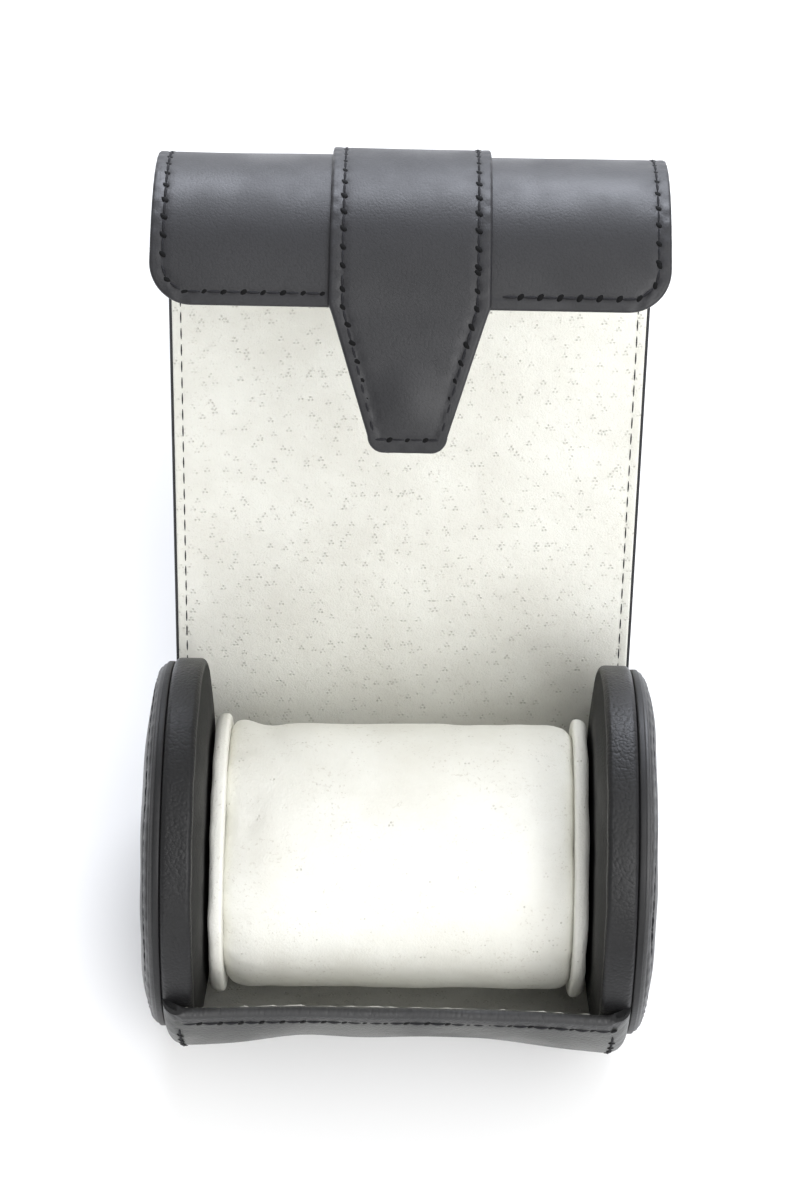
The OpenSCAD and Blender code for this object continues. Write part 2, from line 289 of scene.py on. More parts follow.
def stitch_row(centre, along, up, length, thick, rise, sink, flat=1.0):
    """Points and faces of one spindle for each centre, turned to along and up."""
    along = unit(along)
    up = unit(up - (up * along).sum(-1, keepdims=True) * along)
    side = np.cross(up, along)
    shape, arch = spindle()
    local = shape * [length, thick, thick * flat]
    local[..., 2] += arch * (rise + sink) - sink
    local = local.reshape(-1, 3)
    turned = sum(local[None, :, i, None] * axis[:, None]
                 for i, axis in enumerate((along, side, up)))
    points = (centre[:, None] + turned).reshape(-1, 3)
    ring = np.arange((RINGS - 1) * SIDES).reshape(-1, SIDES)
    right = np.roll(ring, -1, 1)
    quads = np.stack([ring, right, right + SIDES, ring + SIDES], -1).reshape(-1, 4)
    near, far = np.array([[0, 5, 4, 1], [1, 4, 3, 2]]), np.array([[0, 1, 4, 5], [1, 2, 3, 4]])
    one = np.concatenate([quads, near, far + (RINGS - 1) * SIDES])
    faces = (one[None] + RINGS * SIDES * np.arange(len(centre))[:, None, None]).reshape(-1, 4)
    return points, faces, np.tile(local[:, :2], (len(centre), 1))


def sewn(centre, along, up, pitch, **size):
    """A row of stitches, and the slanted slit that the awl left at the end of each, drawn as a flat
    lens of painted shade. The slits lie a metre away in the lay map, where the thread's material is
    nearly black."""
    along, up = unit(along), unit(up)
    slant = 0.62 * along + 0.78 * np.cross(up, along)
    points, faces, lay = stitch_row(centre + along * pitch / 2 + 0.02 * up, slant, up, **SHADED_SLIT)
    return [stitch_row(centre, along, up, **size), (points, faces, lay + [SHADED_SLIT_LAY, 0.0])]


print("one stitch has", RINGS * SIDES, "points")


# %% Stitches on a sheet
def normal(h):
    """Outward normal of a sheet at heading h: (0, sin h, -cos h)."""
    return stack(0.0, np.sin(h), -np.cos(h))


def on_sheet(trail, x, s, t, outward=1):
    """Centre, direction and normal of stitches that run along a trail at x and height t."""
    y, z, h = trail.at(s, t)
    return stack(x, y, z), stack(0.0, np.cos(h), np.sin(h)), outward * normal(h)


def across_sheet(trail, x, s, t):
    """The same for stitches that run across the sheet at distance s."""
    y, z, h = trail.at(s + 0 * x, t)
    return stack(x, y, z), stack(1.0, 0 * x, 0 * x), normal(h)


print("outward normal under the foot:", normal(0.0))


# %% [markdown]
# ## Materials
# The real surfaces differ in grain more than in colour: smooth leather with fine creases,
# pebbled leather on the end blocks, and suede whose pores stand in threes. Each effect is a
# shader group made once from noise and Voronoi cells, with its size as an input, and placed in
# every material that needs it. Photographs of leather would look right from one side only.

# %% Colour and node helpers
BLACK, WHITE = (0.0, 0.0, 0.0, 1.0), (1.0, 1.0, 1.0, 1.0)


def srgb(r, g, b):
    """Colour as seen, 0 to 255, turned into the linear numbers that shaders use."""
    c = np.array([r, g, b]) / 255
    return (*np.where(c <= 0.04045, c / 12.92, ((c + 0.055) / 1.055) ** 2.4).tolist(), 1.0)


class Wiring:
    """Short words for adding and joining nodes in one tree."""

    def __init__(self, tree):
        self.tree = tree

    def node(self, kind, **settings):
        n = self.tree.nodes.new("ShaderNode" + kind)
        for key, value in settings.items():
            setattr(n, key, value)
        return n

    def feed(self, sockets, **values):
        """Gives each named socket its number or colour, or joins another node's output to it."""
        for label, value in values.items():
            self.fill(sockets[label.replace("_", " ")], value)

    def fill(self, socket, value):
        if isinstance(value, (int, float, tuple)):
            socket.default_value = value
        else:
            self.tree.links.new(value, socket)

    def math(self, operation, *values, kind="Math"):
        n = self.node(kind, operation=operation)
        for socket, value in zip(n.inputs, values):
            self.fill(socket, value)
        return n.outputs["Value"] if operation in ("DISTANCE", "LENGTH") else n.outputs[0]

    def vector(self, operation, *values):
        return self.math(operation, *values, kind="VectorMath")

    def times(self, a, b):
        return self.math("MULTIPLY", a, b)

    def between(self, value, low, high, to_low=0.0, to_high=1.0):
        """Smooth step from to_low at low to to_high at high."""
        n = self.node("MapRange", interpolation_type="SMOOTHSTEP")
        self.feed(n.inputs, Value=value, From_Min=low, From_Max=high, To_Min=to_low, To_Max=to_high)
        return n.outputs["Result"]

    def noise(self, vector, scale, detail=3.0, rough=0.5, output="Fac"):
        n = self.node("TexNoise")
        self.feed(n.inputs, Vector=vector, Scale=scale, Detail=detail, Roughness=rough)
        return n.outputs[output]

    def cells(self, vector, scale, **settings):
        n = self.node("TexVoronoi", **settings)
        self.feed(n.inputs, Vector=vector, Scale=scale)
        return n

    def part(self, vector, axis):
        n = self.node("SeparateXYZ")
        self.fill(n.inputs[0], vector)
        return n.outputs[axis]

    def mix(self, factor, a, b):
        """Colour mix: its factor and colours are the inputs 0, 6 and 7 of the node."""
        n = self.node("Mix", data_type="RGBA")
        for i, value in ((0, factor), (6, a), (7, b)):
            self.fill(n.inputs[i], value)
        return n.outputs[2]


def new_group(name, number, start, outputs):
    """Group that takes a vector and the numbers named, and gives numbers."""
    tree = bpy.data.node_groups.new(name, "ShaderNodeTree")
    tree.interface.new_socket("Vector", in_out="INPUT", socket_type="NodeSocketVector")
    for label, value in zip(number, start):
        socket = tree.interface.new_socket(label, in_out="INPUT", socket_type="NodeSocketFloat")
        socket.default_value = value
    for label in outputs:
        tree.interface.new_socket(label, in_out="OUTPUT", socket_type="NodeSocketFloat")
    w = Wiring(tree)
    return w, tree.nodes.new("NodeGroupInput").outputs, tree.nodes.new("NodeGroupOutput").inputs


print("grey 128 is", round(srgb(128, 128, 128)[0], 3), "to a shader")

# %% Group: leather grain
w, given, out = new_group("leather_grain", ("Cells", "Pebble"), (1200.0, 0.5),
                          ("Height", "Crease", "Tone"))
where, size = given["Vector"], given["Cells"]
warp = w.noise(where, w.times(size, 0.4), 2.0, output="Color")
grain = w.cells(w.vector("MULTIPLY_ADD", warp, (0.0006, 0.0006, 0.0006), where), size,
                feature="SMOOTH_F1")
grain.inputs["Smoothness"].default_value = 0.35
distance = grain.outputs["Distance"]
pebble = w.math("SUBTRACT", 1.0, w.math("POWER", distance, 2.0))
fine = w.noise(where, w.times(size, 3.0), 3.0, 0.6)
w.feed(out, Height=w.math("ADD", w.times(pebble, given["Pebble"]), w.times(fine, 0.35)),
       Crease=w.between(distance, 0.35, 0.75),
       Tone=w.between(w.noise(where, 55.0, 4.0), 0.3, 0.7))
print("leather_grain has", len(w.tree.nodes), "nodes")

# %% [markdown]
# Pigskin suede has pores in threes. The group finds the middle of the nearest Voronoi cell,
# and measures how far the shaded point is from three small offsets of that middle.

# %% Group: suede
PORE_SPOTS = ((0.0, 0.00042, 0.0), (0.00038, -0.0002, 0.0), (-0.00036, -0.00026, 0.0))
for kind, dimensions in (("suede_flat", "2D"), ("suede_solid", "3D")):
    w, given, out = new_group(kind, ("Pores",), (300.0,), ("Height", "Pore", "Fleck", "Tone"))
    where = given["Vector"]
    cells = w.cells(where, given["Pores"], feature="F1", voronoi_dimensions=dimensions)
    local = w.vector("SUBTRACT", where, cells.outputs["Position"])
    nearest = w.vector("DISTANCE", local, PORE_SPOTS[0])
    for spot in PORE_SPOTS[1:]:
        nearest = w.math("MINIMUM", nearest, w.vector("DISTANCE", local, spot))
    wear_and_painted_light = w.between(w.noise(where, 260.0, 3.0, 0.7), 0.36, 0.6)
    pore = w.times(w.between(nearest, 0.00029, 0.0001), wear_and_painted_light)
    nap, tuft = w.noise(where, 2600.0, 4.0, 0.65), w.noise(where, 420.0, 3.0, 0.6)
    pile = w.math("ADD", nap, w.times(tuft, 1.2))
    patch = w.between(w.noise(where, 130.0, 2.0), 0.42, 0.6)
    speck = w.between(w.noise(where, 1300.0, 2.0, 0.7), 0.58, 0.7)
    w.feed(out, Height=w.math("SUBTRACT", pile, w.times(pore, 0.9)), Pore=pore,
           Fleck=w.times(patch, speck), Tone=w.between(w.noise(where, 45.0, 5.0, 0.6), 0.3, 0.72))
    print(kind, "has", len(w.tree.nodes), "nodes")


# %% [markdown]
# A material holds its own Principled BSDF, and a Bump node that feeds its Normal. Patterns read
# the lay map, where a distance is metres along the surface, or Object coordinates where a piece
# has no single surface to lay out.

# %% Material helpers
def start_material(name, lay=True):
    """Material, its wiring, its shader, and the lay map or Object coordinates."""
    material = bpy.data.materials.new(name)
    material.use_nodes = True
    w = Wiring(material.node_tree)
    shader = material.node_tree.nodes["Principled BSDF"]
    if lay:
        return material, w, shader, w.node("UVMap", uv_map="lay").outputs[0]
    return material, w, shader, w.node("TexCoord").outputs["Object"]


def use_group(w, name, **values):
    n = w.node("Group")
    n.node_tree = bpy.data.node_groups[name]
    w.feed(n.inputs, **values)
    return n.outputs


def surface(w, shader, height, depth, **values):
    """Feeds the shader, and bumps it by a height that is worth depth metres."""
    n = w.node("Bump")
    w.feed(n.inputs, Strength=1.0, Distance=depth, Height=height)
    w.feed(shader.inputs, Normal=n.outputs[0], **values)


print("groups:", [group.name for group in bpy.data.node_groups])


# %% [markdown]
# Leather gets its colour from patches of tone and from the creases of its grain. Two places
# have light and shade painted into their colour. The front of the wall is painted lighter below
# the lip, which is painted light, and the band above the lip's seam is painted dark, which is
# painted shade. The inner faces of the end blocks are painted nearly black, which is painted
# shade, and made dull. All are told apart by their place in the lay map, because a second
# piece of leather would show a cut that isn't there.

# %% Leathers
# Painted light: between these lay places the front of the wall turns lighter, fully so just below
# the lip.
FRONT_LIGHT_FROM, FRONT_LIGHT_FULL = -0.055, -0.085
# Painted shade: the band from the lip's edge down to its seam is painted dark.
LIP_SHADE_TOP, LIP_SHADE_END, LIP_SHADE = -0.1079, -0.1071, 0.85
# Painted shade: inside this lay radius the inner face of an end block is painted nearly black.
INNER_SHADE_EDGE, INNER_SHADE_SOFT = 0.0368, 0.0009


def leather(name, dark, light, cells, pebble, depth, rough, gloss, front=None, inner=False):
    """Grained leather. A front is painted lighter below the lip, which is painted light, and
    painted dark above the lip's seam, which is painted shade. An inner face of an end block is
    painted nearly black up to its rounded rim, which is painted shade, and is dull there."""
    material, w, shader, where = start_material(name)
    grain = use_group(w, "leather_grain", Vector=where, Cells=cells, Pebble=pebble)
    colour = w.mix(grain["Tone"], dark, light)
    crease = tuple(0.45 * v for v in dark[:3]) + (1.0,)
    colour = w.mix(w.times(grain["Crease"], 0.25), colour, crease)
    if front:
        along = w.part(where, "Y")
        # Painted light: the front below the lip is painted lighter, fading towards the foot.
        wear_and_painted_light = w.mix(grain["Tone"], *front)
        colour = w.mix(w.between(along, FRONT_LIGHT_FROM, FRONT_LIGHT_FULL), colour, wear_and_painted_light)
        # Painted shade: the band above the lip's seam is painted dark.
        colour = w.mix(w.between(along, LIP_SHADE_TOP, LIP_SHADE_END, LIP_SHADE, 0.0), colour, dark)
    roughness = w.between(grain["Tone"], 0.0, 1.0, rough + 0.06, rough - 0.06)
    # Painted shade: the inner face of an end block is painted nearly black, and made duller.
    if inner:
        face = w.between(w.vector("LENGTH", where), INNER_SHADE_EDGE, INNER_SHADE_EDGE - INNER_SHADE_SOFT)
        colour = w.mix(face, colour, srgb(7, 7, 7))
        roughness = w.math("ADD", roughness, w.times(face, 0.3))
    surface(w, shader, grain["Height"], depth, Base_Color=colour, Roughness=roughness,
            Specular_IOR_Level=gloss)
    return material


smooth_leather = leather("smooth_leather", srgb(30, 30, 33), srgb(36, 36, 39),
                         cells=2100.0, pebble=0.35, depth=0.00006, rough=0.46, gloss=0.4)
# The front colours are painted light: the wall's front below the lip is painted lighter.
front_leather = leather("front_leather", srgb(34, 34, 36), srgb(40, 40, 42),
                        cells=1500.0, pebble=0.7, depth=0.00014, rough=0.45, gloss=0.5,
                        front=(srgb(60, 61, 60), srgb(78, 79, 77)))
# The end blocks' inner faces get painted shade, nearly black.
pebbled_leather = leather("pebbled_leather", srgb(20, 20, 21), srgb(27, 27, 29), cells=1500.0,
                          pebble=0.8, depth=0.00011, rough=0.4, gloss=0.32, inner=True)
edge_leather = leather("edge_leather", srgb(20, 20, 21), srgb(26, 26, 28),
                       cells=1500.0, pebble=0.4, depth=0.00006, rough=0.45, gloss=0.35)
panel_leather = leather("panel_leather", srgb(46, 46, 47), srgb(58, 58, 59),
                        cells=1700.0, pebble=0.4, depth=0.00008, rough=0.42, gloss=0.5)
print("leathers:", *(m.name for m in (smooth_leather, front_leather, pebbled_leather,
                                      edge_leather, panel_leather)))

# %% [markdown]
# Suede is pale and dull, with a soft sheen from its nap. The lining gets painted shade, a little
# darker towards the well, and the cushion is lighter than the lining and has fainter pores. One
# function makes both, so they stay one kind of hide.

# %% Suedes
# Lay places where the painted shade on the lining begins and where it is full.
SHADE_FROM, SHADE_FULL = 0.055, -0.01


def suede(name, dark, light, pore_colour, fleck_colour, pores, flecks, depth, sheen, lay=True,
          painted_shade=1.0):
    """Suede with pores and flecks. A shade factor below 1 paints shade on it, darker towards the
    well.
    """
    material, w, shader, where = start_material(name, lay)
    hide = use_group(w, "suede_flat" if lay else "suede_solid", Vector=where, Pores=330.0)
    colour = w.mix(hide["Tone"], dark, light)
    colour = w.mix(w.times(hide["Fleck"], flecks), colour, fleck_colour)
    colour = w.mix(w.times(hide["Pore"], pores), colour, pore_colour)
    # Painted shade: the lining is painted darker towards the well.
    if painted_shade < 1:
        low = w.between(w.part(where, "Y"), SHADE_FROM, SHADE_FULL)
        colour = w.mix(low, colour, w.mix(1.0 - painted_shade, colour, BLACK))
    surface(w, shader, hide["Height"], depth, Base_Color=colour, Roughness=0.95,
            Specular_IOR_Level=0.15, Sheen_Weight=sheen, Sheen_Roughness=0.6)
    return material


# The lining gets painted shade towards the well.
lining_suede = suede("lining_suede", srgb(226, 225, 217), srgb(236, 236, 229),
                     srgb(138, 132, 118), srgb(158, 146, 126),
                     pores=0.27, flecks=0.2, depth=0.0002, sheen=0.05, painted_shade=0.8)
cushion_suede = suede("cushion_suede", srgb(240, 239, 231), srgb(249, 249, 243),
                      srgb(176, 171, 158), srgb(192, 186, 172),
                      pores=0.45, flecks=0.35, depth=0.00014, sheen=0.1, lay=False)
print("suedes:", lining_suede.name, cushion_suede.name)

# %% [markdown]
# Thread, board, foam and steel need no pattern of their own, so one noise between two colours is
# enough. The slits beside the stitches are part of the thread's mesh, and nearly black: painted
# shade inside the awl's holes.

# %% Thread, board, foam and steel
def plain(name, dark, light, scale, depth, rough, metal=0.0, slit_shade=None):
    """Noise between two colours, with a fine relief: board, foam, steel and thread. With a colour
    of painted shade for slits, it reads the lay map, where the slits lie a metre away."""
    material, w, shader, where = start_material(name, lay=bool(slit_shade))
    spots = w.noise(where, scale, 4.0, 0.6)
    colour = w.mix(w.between(spots, 0.3, 0.7), dark, light)
    if slit_shade:
        # Painted shade: the slits get their nearly black colour.
        colour = w.mix(w.between(w.part(where, "X"), 0.4, 0.6), colour, slit_shade)
        shader.inputs["Specular IOR Level"].default_value = 0.15
    surface(w, shader, spots, depth, Base_Color=colour, Roughness=rough, Metallic=metal)
    return material


# The thread's slit colour is painted shade.
thread = plain("thread", srgb(32, 32, 35), srgb(42, 42, 45), 2400.0, 0.00008, 0.7,
               slit_shade=srgb(5, 5, 6))
grey_board = plain("grey_board", srgb(150, 138, 116), srgb(176, 163, 140), 700.0, 0.00006, 0.9)
fibreboard = plain("fibreboard", srgb(140, 112, 82), srgb(168, 138, 104), 900.0, 0.00008, 0.85)
foam = plain("foam", srgb(196, 196, 188), srgb(222, 222, 214), 1600.0, 0.0002, 0.95)
magnet_steel = plain("magnet_steel", srgb(170, 171, 175), srgb(196, 197, 200), 300.0, 0.00001,
                     0.3, metal=1.0)
print(len(bpy.data.materials), "materials")

# %% [markdown]
# ## Lid: one sheet in strips
# On the real case the lid is one piece of leather lined with suede. It bends at nine lines in the
# CAD model, and a strip can bend across one line only, so the sheet is cut in the middle of every
# stretch, where it never bends, and each strip's span across its own line is passed to bend, which
# makes no blend. The cuts don't show, because both sides of one end on the same curve.
# The surface is a grid of s along and x across, with close columns at the rounded edges.

# %% Lid measures
BORDERS = [-6, 12.05, 36.15, 60.25, 84.35, 108.45, 127.9, 142.7, 161.45, 179.1, LID_END]
BEND_SHARE = 0.5
LID_HALF, LINING_HALF, WALL_HALF = 47.6, 46.95, 45.9
FLAP_ROUND, SEAM, PITCH = 7.8, 2.4, 3.6
SHEET_GAP = 0.15
EDGE_STEPS = np.array([0, 0.06, 0.16, 0.3, 0.5, 0.8, 1.2, 1.6, 2.0, 2.4, 2.8, 3.3, 4.2, 5.6])


def columns(half, coarse=2.4):
    """Places from -half to half that crowd towards both rounded edges and the seam."""
    side = half - EDGE_STEPS
    middle = np.linspace(-side[-1], side[-1], int(2 * side[-1] / coarse) + 2)[1:-1]
    return np.concatenate([-side, middle, side[::-1]])


def rows(a, b, step=0.6):
    """Places from a to b, at most a step apart."""
    return np.linspace(a, b, int(math.ceil((b - a) / step)) + 1)


print("columns across the lid:", len(columns(LID_HALF)))


# %% [markdown]
# Leather has no sharp edges. Each one is rounded, and a seam beside it presses a groove that is
# deepest under the thread and puckers the edge a little. A Bevel modifier could round the edge,
# but not follow the seam.

# %% Edges and seams
def fall(e, r):
    """Drop of a rounded edge of radius r at distance e inside the edge: a quarter circle."""
    u = np.clip(1 - e / r, 0, 1)
    return r * (1 - np.sqrt(1 - u * u))


def seam_relief(e, along, inset=SEAM, pitch=PITCH, depth=0.26, pucker=0.07):
    """A seam presses a soft groove at its inset, deeper at each stitch, and puckers the edge."""
    beat = np.cos(2 * np.pi * along / pitch)
    groove = bell(e, inset, 0.5) * (0.65 + 0.35 * beat)
    return pucker * beat * (1 - ramp(e, 0.4 * inset, inset)) - depth * groove


print("a seam's groove is", round(float(-seam_relief(SEAM, 0.0)), 2), "mm deep")


# %% Lid surfaces
def lid_half(s, half):
    """Half width of the lid at s: it widens from the wall's width over the first centimetre."""
    return half - (LID_HALF - WALL_HALF) * (1 - ramp(s, -6, 10))


def lid_edge(x, s, half):
    """Distance from the lid's outline (a side, the end or a rounded corner), and the distance
    along the seam that lies nearest."""
    half = lid_half(s, half)
    qx, qs = np.abs(x) - (half - FLAP_ROUND), s - (LID_END - FLAP_ROUND)
    corner = FLAP_ROUND - np.hypot(np.maximum(qx, 0), np.maximum(qs, 0))
    e = np.where((qx > 0) & (qs > 0), corner, np.minimum(half - np.abs(x), LID_END - s))
    return e, np.where(LID_END - s < half - np.abs(x), x, s)


def lid_grid(a, b, half):
    """Grid of x and s for a strip, drawn in to follow the rounded corners of the flap."""
    s = rows(a, b)
    if b == LID_END:
        first = math.asin((a - b + FLAP_ROUND) / FLAP_ROUND)
        s = b - FLAP_ROUND + FLAP_ROUND * np.sin(np.linspace(first, np.pi / 2, 26))
    q = np.clip(s - (LID_END - FLAP_ROUND), 0, FLAP_ROUND)
    wide = lid_half(s, half) - FLAP_ROUND + np.sqrt(FLAP_ROUND ** 2 - q ** 2)
    return np.broadcast_arrays(columns(half)[None] * (wide / half)[:, None], s[:, None])


def lid_outside(x, s):
    """Height of the leather's outer face: rounded at its edge, with the seam and soft waves."""
    e, along = lid_edge(x, s, LID_HALF)
    return HALF_LID - fall(e, 0.5) + seam_relief(e, along) + 0.07 * hills(x, s, 34, 3)


def lid_inside(x, s):
    """Height of the suede's inner face: thicker where it comes up out of the well."""
    e, along = lid_edge(x, s, LINING_HALF)
    deep = -HALF_LID - 1.1 * (1 - ramp(s, -6, 8))
    relief = seam_relief(e, along, SEAM - 0.5, depth=0.2, pucker=0.06)
    return deep + fall(e, 0.4) - relief + 0.09 * hills(x, s, 21, 5)


print("lid half width grows from", round(float(lid_half(-6, LID_HALF)), 1), "to", LID_HALF, "mm")


# %% [markdown]
# A strip that bends would be blended across its hinge line, near one end riding on the first body
# and near the other on the second. The span for it takes half of the strip, because a longer one
# would bow the sheet inwards and a shorter one would fold it like card. The script works out the
# span and bakes each strip in place, but makes no blend.

# %% Bends and finishing
def blend_along(piece, trail, a, b):
    """Works out the places at distances a and b on the trail, which nothing uses, and bakes the
    piece's transform into its mesh.
    """
    start, end = ((0.0, *(float(v * MM) for v in trail.at(s)[:2])) for s in (a, b))
    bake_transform(piece)


def bend(piece, k):
    """Passes the middle half of strip k's length, about its hinge line, to blend_along."""
    fold = FOLDS[k - 1]
    a, b = (fold + BEND_SHARE * (border - fold) for border in BORDERS[k - 1:k + 1])
    blend_along(piece, lid_trail, a, b)


def finish_piece(piece, material, slot, *replaced, body=None):
    """Gives a piece its material and its body, and hides the CAD nodes it stands for. The slot is
    not used.
    """
    piece.data.materials.clear()
    piece.data.materials.append(material)
    if replaced:
        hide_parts(*replaced)
    if body:
        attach(piece, body)
    return piece


print("hinge lines at", [round(float(fold), 1) for fold in FOLDS[:-1]])

# %% Lid leather and lining
for k in range(1, 11):
    for kind, cad, half, material, slot in (
            ("leather", "leather", LID_HALF, smooth_leather, "smooth_leather"),
            ("suede", "lining", LINING_HALF, lining_suede, "lining_suede")):
        x, s = lid_grid(BORDERS[k - 1], BORDERS[k], half)
        if kind == "leather":
            top, bottom = lid_outside(x, s), -SHEET_GAP + fall(lid_edge(x, s, half)[0], 0.35)
        else:
            top, bottom = -SHEET_GAP, lid_inside(x, s)
        piece = slab(f"lid_{kind}_{k}", place(lid_trail, x, s, top),
                     place(lid_trail, x, s, bottom), stack(x, s))
        nodes = [f"lid_{cad}_{k}"] if k < 9 else [f"flap_{cad}"] if k == 9 else []
        finish_piece(piece, material, slot, *nodes)
        if k < 10:
            bend(piece, k)
        else:
            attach(piece, "flap")

# %% [markdown]
# ## Strap and tongue
# A second band of leather is stitched down the middle of the lid and runs on past the flap as
# the tongue, where a backing doubles it and a flat magnet makes a soft round bulge.

# %% Strap measures
STRAP_HALF, STRAP_START, STRAP_TOP = 14.8, 48.6, HALF_LID + 1.3
STRAP_FOOT = HALF_LID - 0.12
STRAP_SEAM, STRAP_PITCH = 2.45, 3.3
STRAP_LAY = 60.0
MAGNET_S, BULGE, BULGE_FLAT, BULGE_R = LID_END + 17.0, 0.62, 0.5, 8.4


def strap_top(e, along, x, s):
    """Height of the strap's outer face, with its seam and the bulge over the magnet."""
    bulge = BULGE * (1 - ramp(np.hypot(x, s - MAGNET_S), BULGE_FLAT, BULGE_R))
    relief = seam_relief(e, along, STRAP_SEAM, STRAP_PITCH, 0.25, 0.06)
    return STRAP_TOP - fall(e, 0.55) + relief + bulge


print("strap", 2 * STRAP_HALF, "mm wide, seam at", STRAP_SEAM)

# %% Strap
for k in range(3, 10):
    s = rows(max(STRAP_START, BORDERS[k - 1]), BORDERS[k])
    x, s = np.broadcast_arrays(columns(STRAP_HALF, 1.6)[None], s[:, None])
    e = np.minimum(STRAP_HALF - np.abs(x), s - STRAP_START)
    top = place(lid_trail, x, s, strap_top(e, s, x, s) + 0.07 * hills(x, s, 34, 3))
    piece = slab(f"strap_band_{k}", top, place(lid_trail, x, s, STRAP_FOOT),
                 stack(x + STRAP_LAY, s))
    finish_piece(piece, smooth_leather, "smooth_leather", f"strap_{k}")
    if k > 3:
        bend(piece, k)
    else:
        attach(piece, "lid_3")

# %% [markdown]
# The tongue follows a trail of its own, a little straighter than the flap, because it is thick
# and stiff. Its outline narrows to a rounded tip, and the rows of the grid narrow with it, so
# that the seam keeps its distance from the edge.

# %% Tongue outline
TONGUE_LEN, TIP_HALF, TIP_ROUND = 26.0, 7.3, 3.0
TONGUE_HOLD, TONGUE_FREE = 3.0, 4.5
TONGUE_END = LID_END + TONGUE_LEN
TIP_START = LID_END + TONGUE_LEN - TIP_ROUND
tongue_trail = Trail(on_circle(FOLD_R, LEAN - 90), LEAN,
                     LID_LEGS[:-1] + [(10.1, 14.43), (5.0, -2.6), (25.0, 18.2)])


def tongue_half(s):
    """Half width: straight to the flap's edge, then a taper, and a quarter circle at the tip."""
    u = np.minimum(s - LID_END, TONGUE_LEN)
    wide = STRAP_HALF - 0.2 * ramp(s, LID_END - 1, LID_END + 1)
    taper = (TIP_HALF - STRAP_HALF + 0.2) * np.clip(u / (TONGUE_LEN - TIP_ROUND), 0, 1)
    q = np.clip(u - (TONGUE_LEN - TIP_ROUND), 0, TIP_ROUND)
    return wide + taper - TIP_ROUND + np.sqrt(np.maximum(TIP_ROUND ** 2 - q ** 2, 0))


def tongue_edge(x, s):
    """Distance from the tongue's outline, near enough for its rounding and seam."""
    side = (tongue_half(np.minimum(s, TIP_START)) - np.abs(x)) * 0.96
    end = TONGUE_END - s
    corner = TIP_ROUND - np.hypot(*(TIP_ROUND - np.minimum(e, TIP_ROUND) for e in (side, end)))
    return np.where((side < TIP_ROUND) & (end < TIP_ROUND), corner, np.minimum(side, end))


def bend_tongue(piece):
    """Passes the tongue's span across the flap's edge to blend_along."""
    blend_along(piece, tongue_trail, LID_END - TONGUE_HOLD,
                LID_END + TONGUE_FREE)


tip_y, tip_z, _ = tongue_trail.at(TONGUE_END)
print("tongue tip at", round(float(tip_y), 1), round(float(tip_z), 1))

# %% Tongue
s = np.concatenate([rows(BORDERS[9], TIP_START, 0.5)[:-1],
                    TIP_START + TIP_ROUND * np.sin(np.linspace(0, np.pi / 2, 13))])[:, None]
x = columns(STRAP_HALF, 1.4)[None] / STRAP_HALF * tongue_half(s)
s = s + 0 * x
e = tongue_edge(x, s)
along = np.where(e >= TONGUE_END - s - 1e-6, x, s)
top = strap_top(e, along, x, s) + 0.05 * hills(x, s, 26, 3)
under = STRAP_FOOT * (1 - ramp(s, LID_END + 0.2, LID_END + 1.1)) - 0.05
under = under + fall(e, 0.5) * ramp(s, LID_END + 0.4, LID_END + 1.4)
tongue = slab("tongue_band", place(tongue_trail, x, s, top), place(tongue_trail, x, s, under),
              stack(x + STRAP_LAY, s))
finish_piece(tongue, smooth_leather, "smooth_leather", "tongue_leather", "tongue_backing")
bend_tongue(tongue)
print("tongue", len(tongue.data.polygons), "faces")

# %% [markdown]
# ## Wall: leather, board and lining
# The front wall is the other end of the same sheet. Its leather is turned over the lip, its sides
# are drawn in round the end blocks, and its front has a slight waist between them. All of that is
# a height below the trail, so leather, board and lining share the same functions. The lay map
# runs on into the lid's, so the wall's distances are counted back from where the lid's begin.

# %% Wall measures
WALL_JOIN = WALL_END - 6 * WALL_R / FOLD_R
LAY_ZERO = WALL_JOIN + 6
LIP_R, LIP_FOLD = 1.2, 0.25
LIP_SEAM, WALL_SEAM = 3.4, 3.3
LIP_PITCH = (WALL_HALF - WALL_SEAM) / 10.5


def waist(x, s):
    """The front is drawn in between the end blocks, less at the lip and not at all at the base."""
    return (1 - ramp(np.abs(x), 15, 45)) * (0.9 + 1.7 * ramp(s, 0, 22)) * (1 - ramp(s, 30, 50))


def side_turn(x, s):
    """A quarter ellipse draws the leather in to the end blocks, up to where the lid starts."""
    u = np.clip((np.abs(x) - 41.8) / (WALL_HALF - 41.8), 0, 1)
    return 3.9 * (1 - np.sqrt(1 - u * u)) * (1 - ramp(s, WALL_JOIN - 26, WALL_JOIN))


def lip_rise(x, s):
    """At both ends the lip runs up a little to the end panels."""
    return 3.6 * ramp(np.abs(x), 41.0, 46.2) * (1 - ramp(s, 0, 9))


def mirrored(side, count):
    """Places across, from fine ones at one side to the same at the other, with count between."""
    return np.concatenate([-side[:0:-1], np.linspace(-side[0], side[0], count), side[1:]])


print("wall leather from the lip to the lid:", round(WALL_JOIN, 1), "mm")

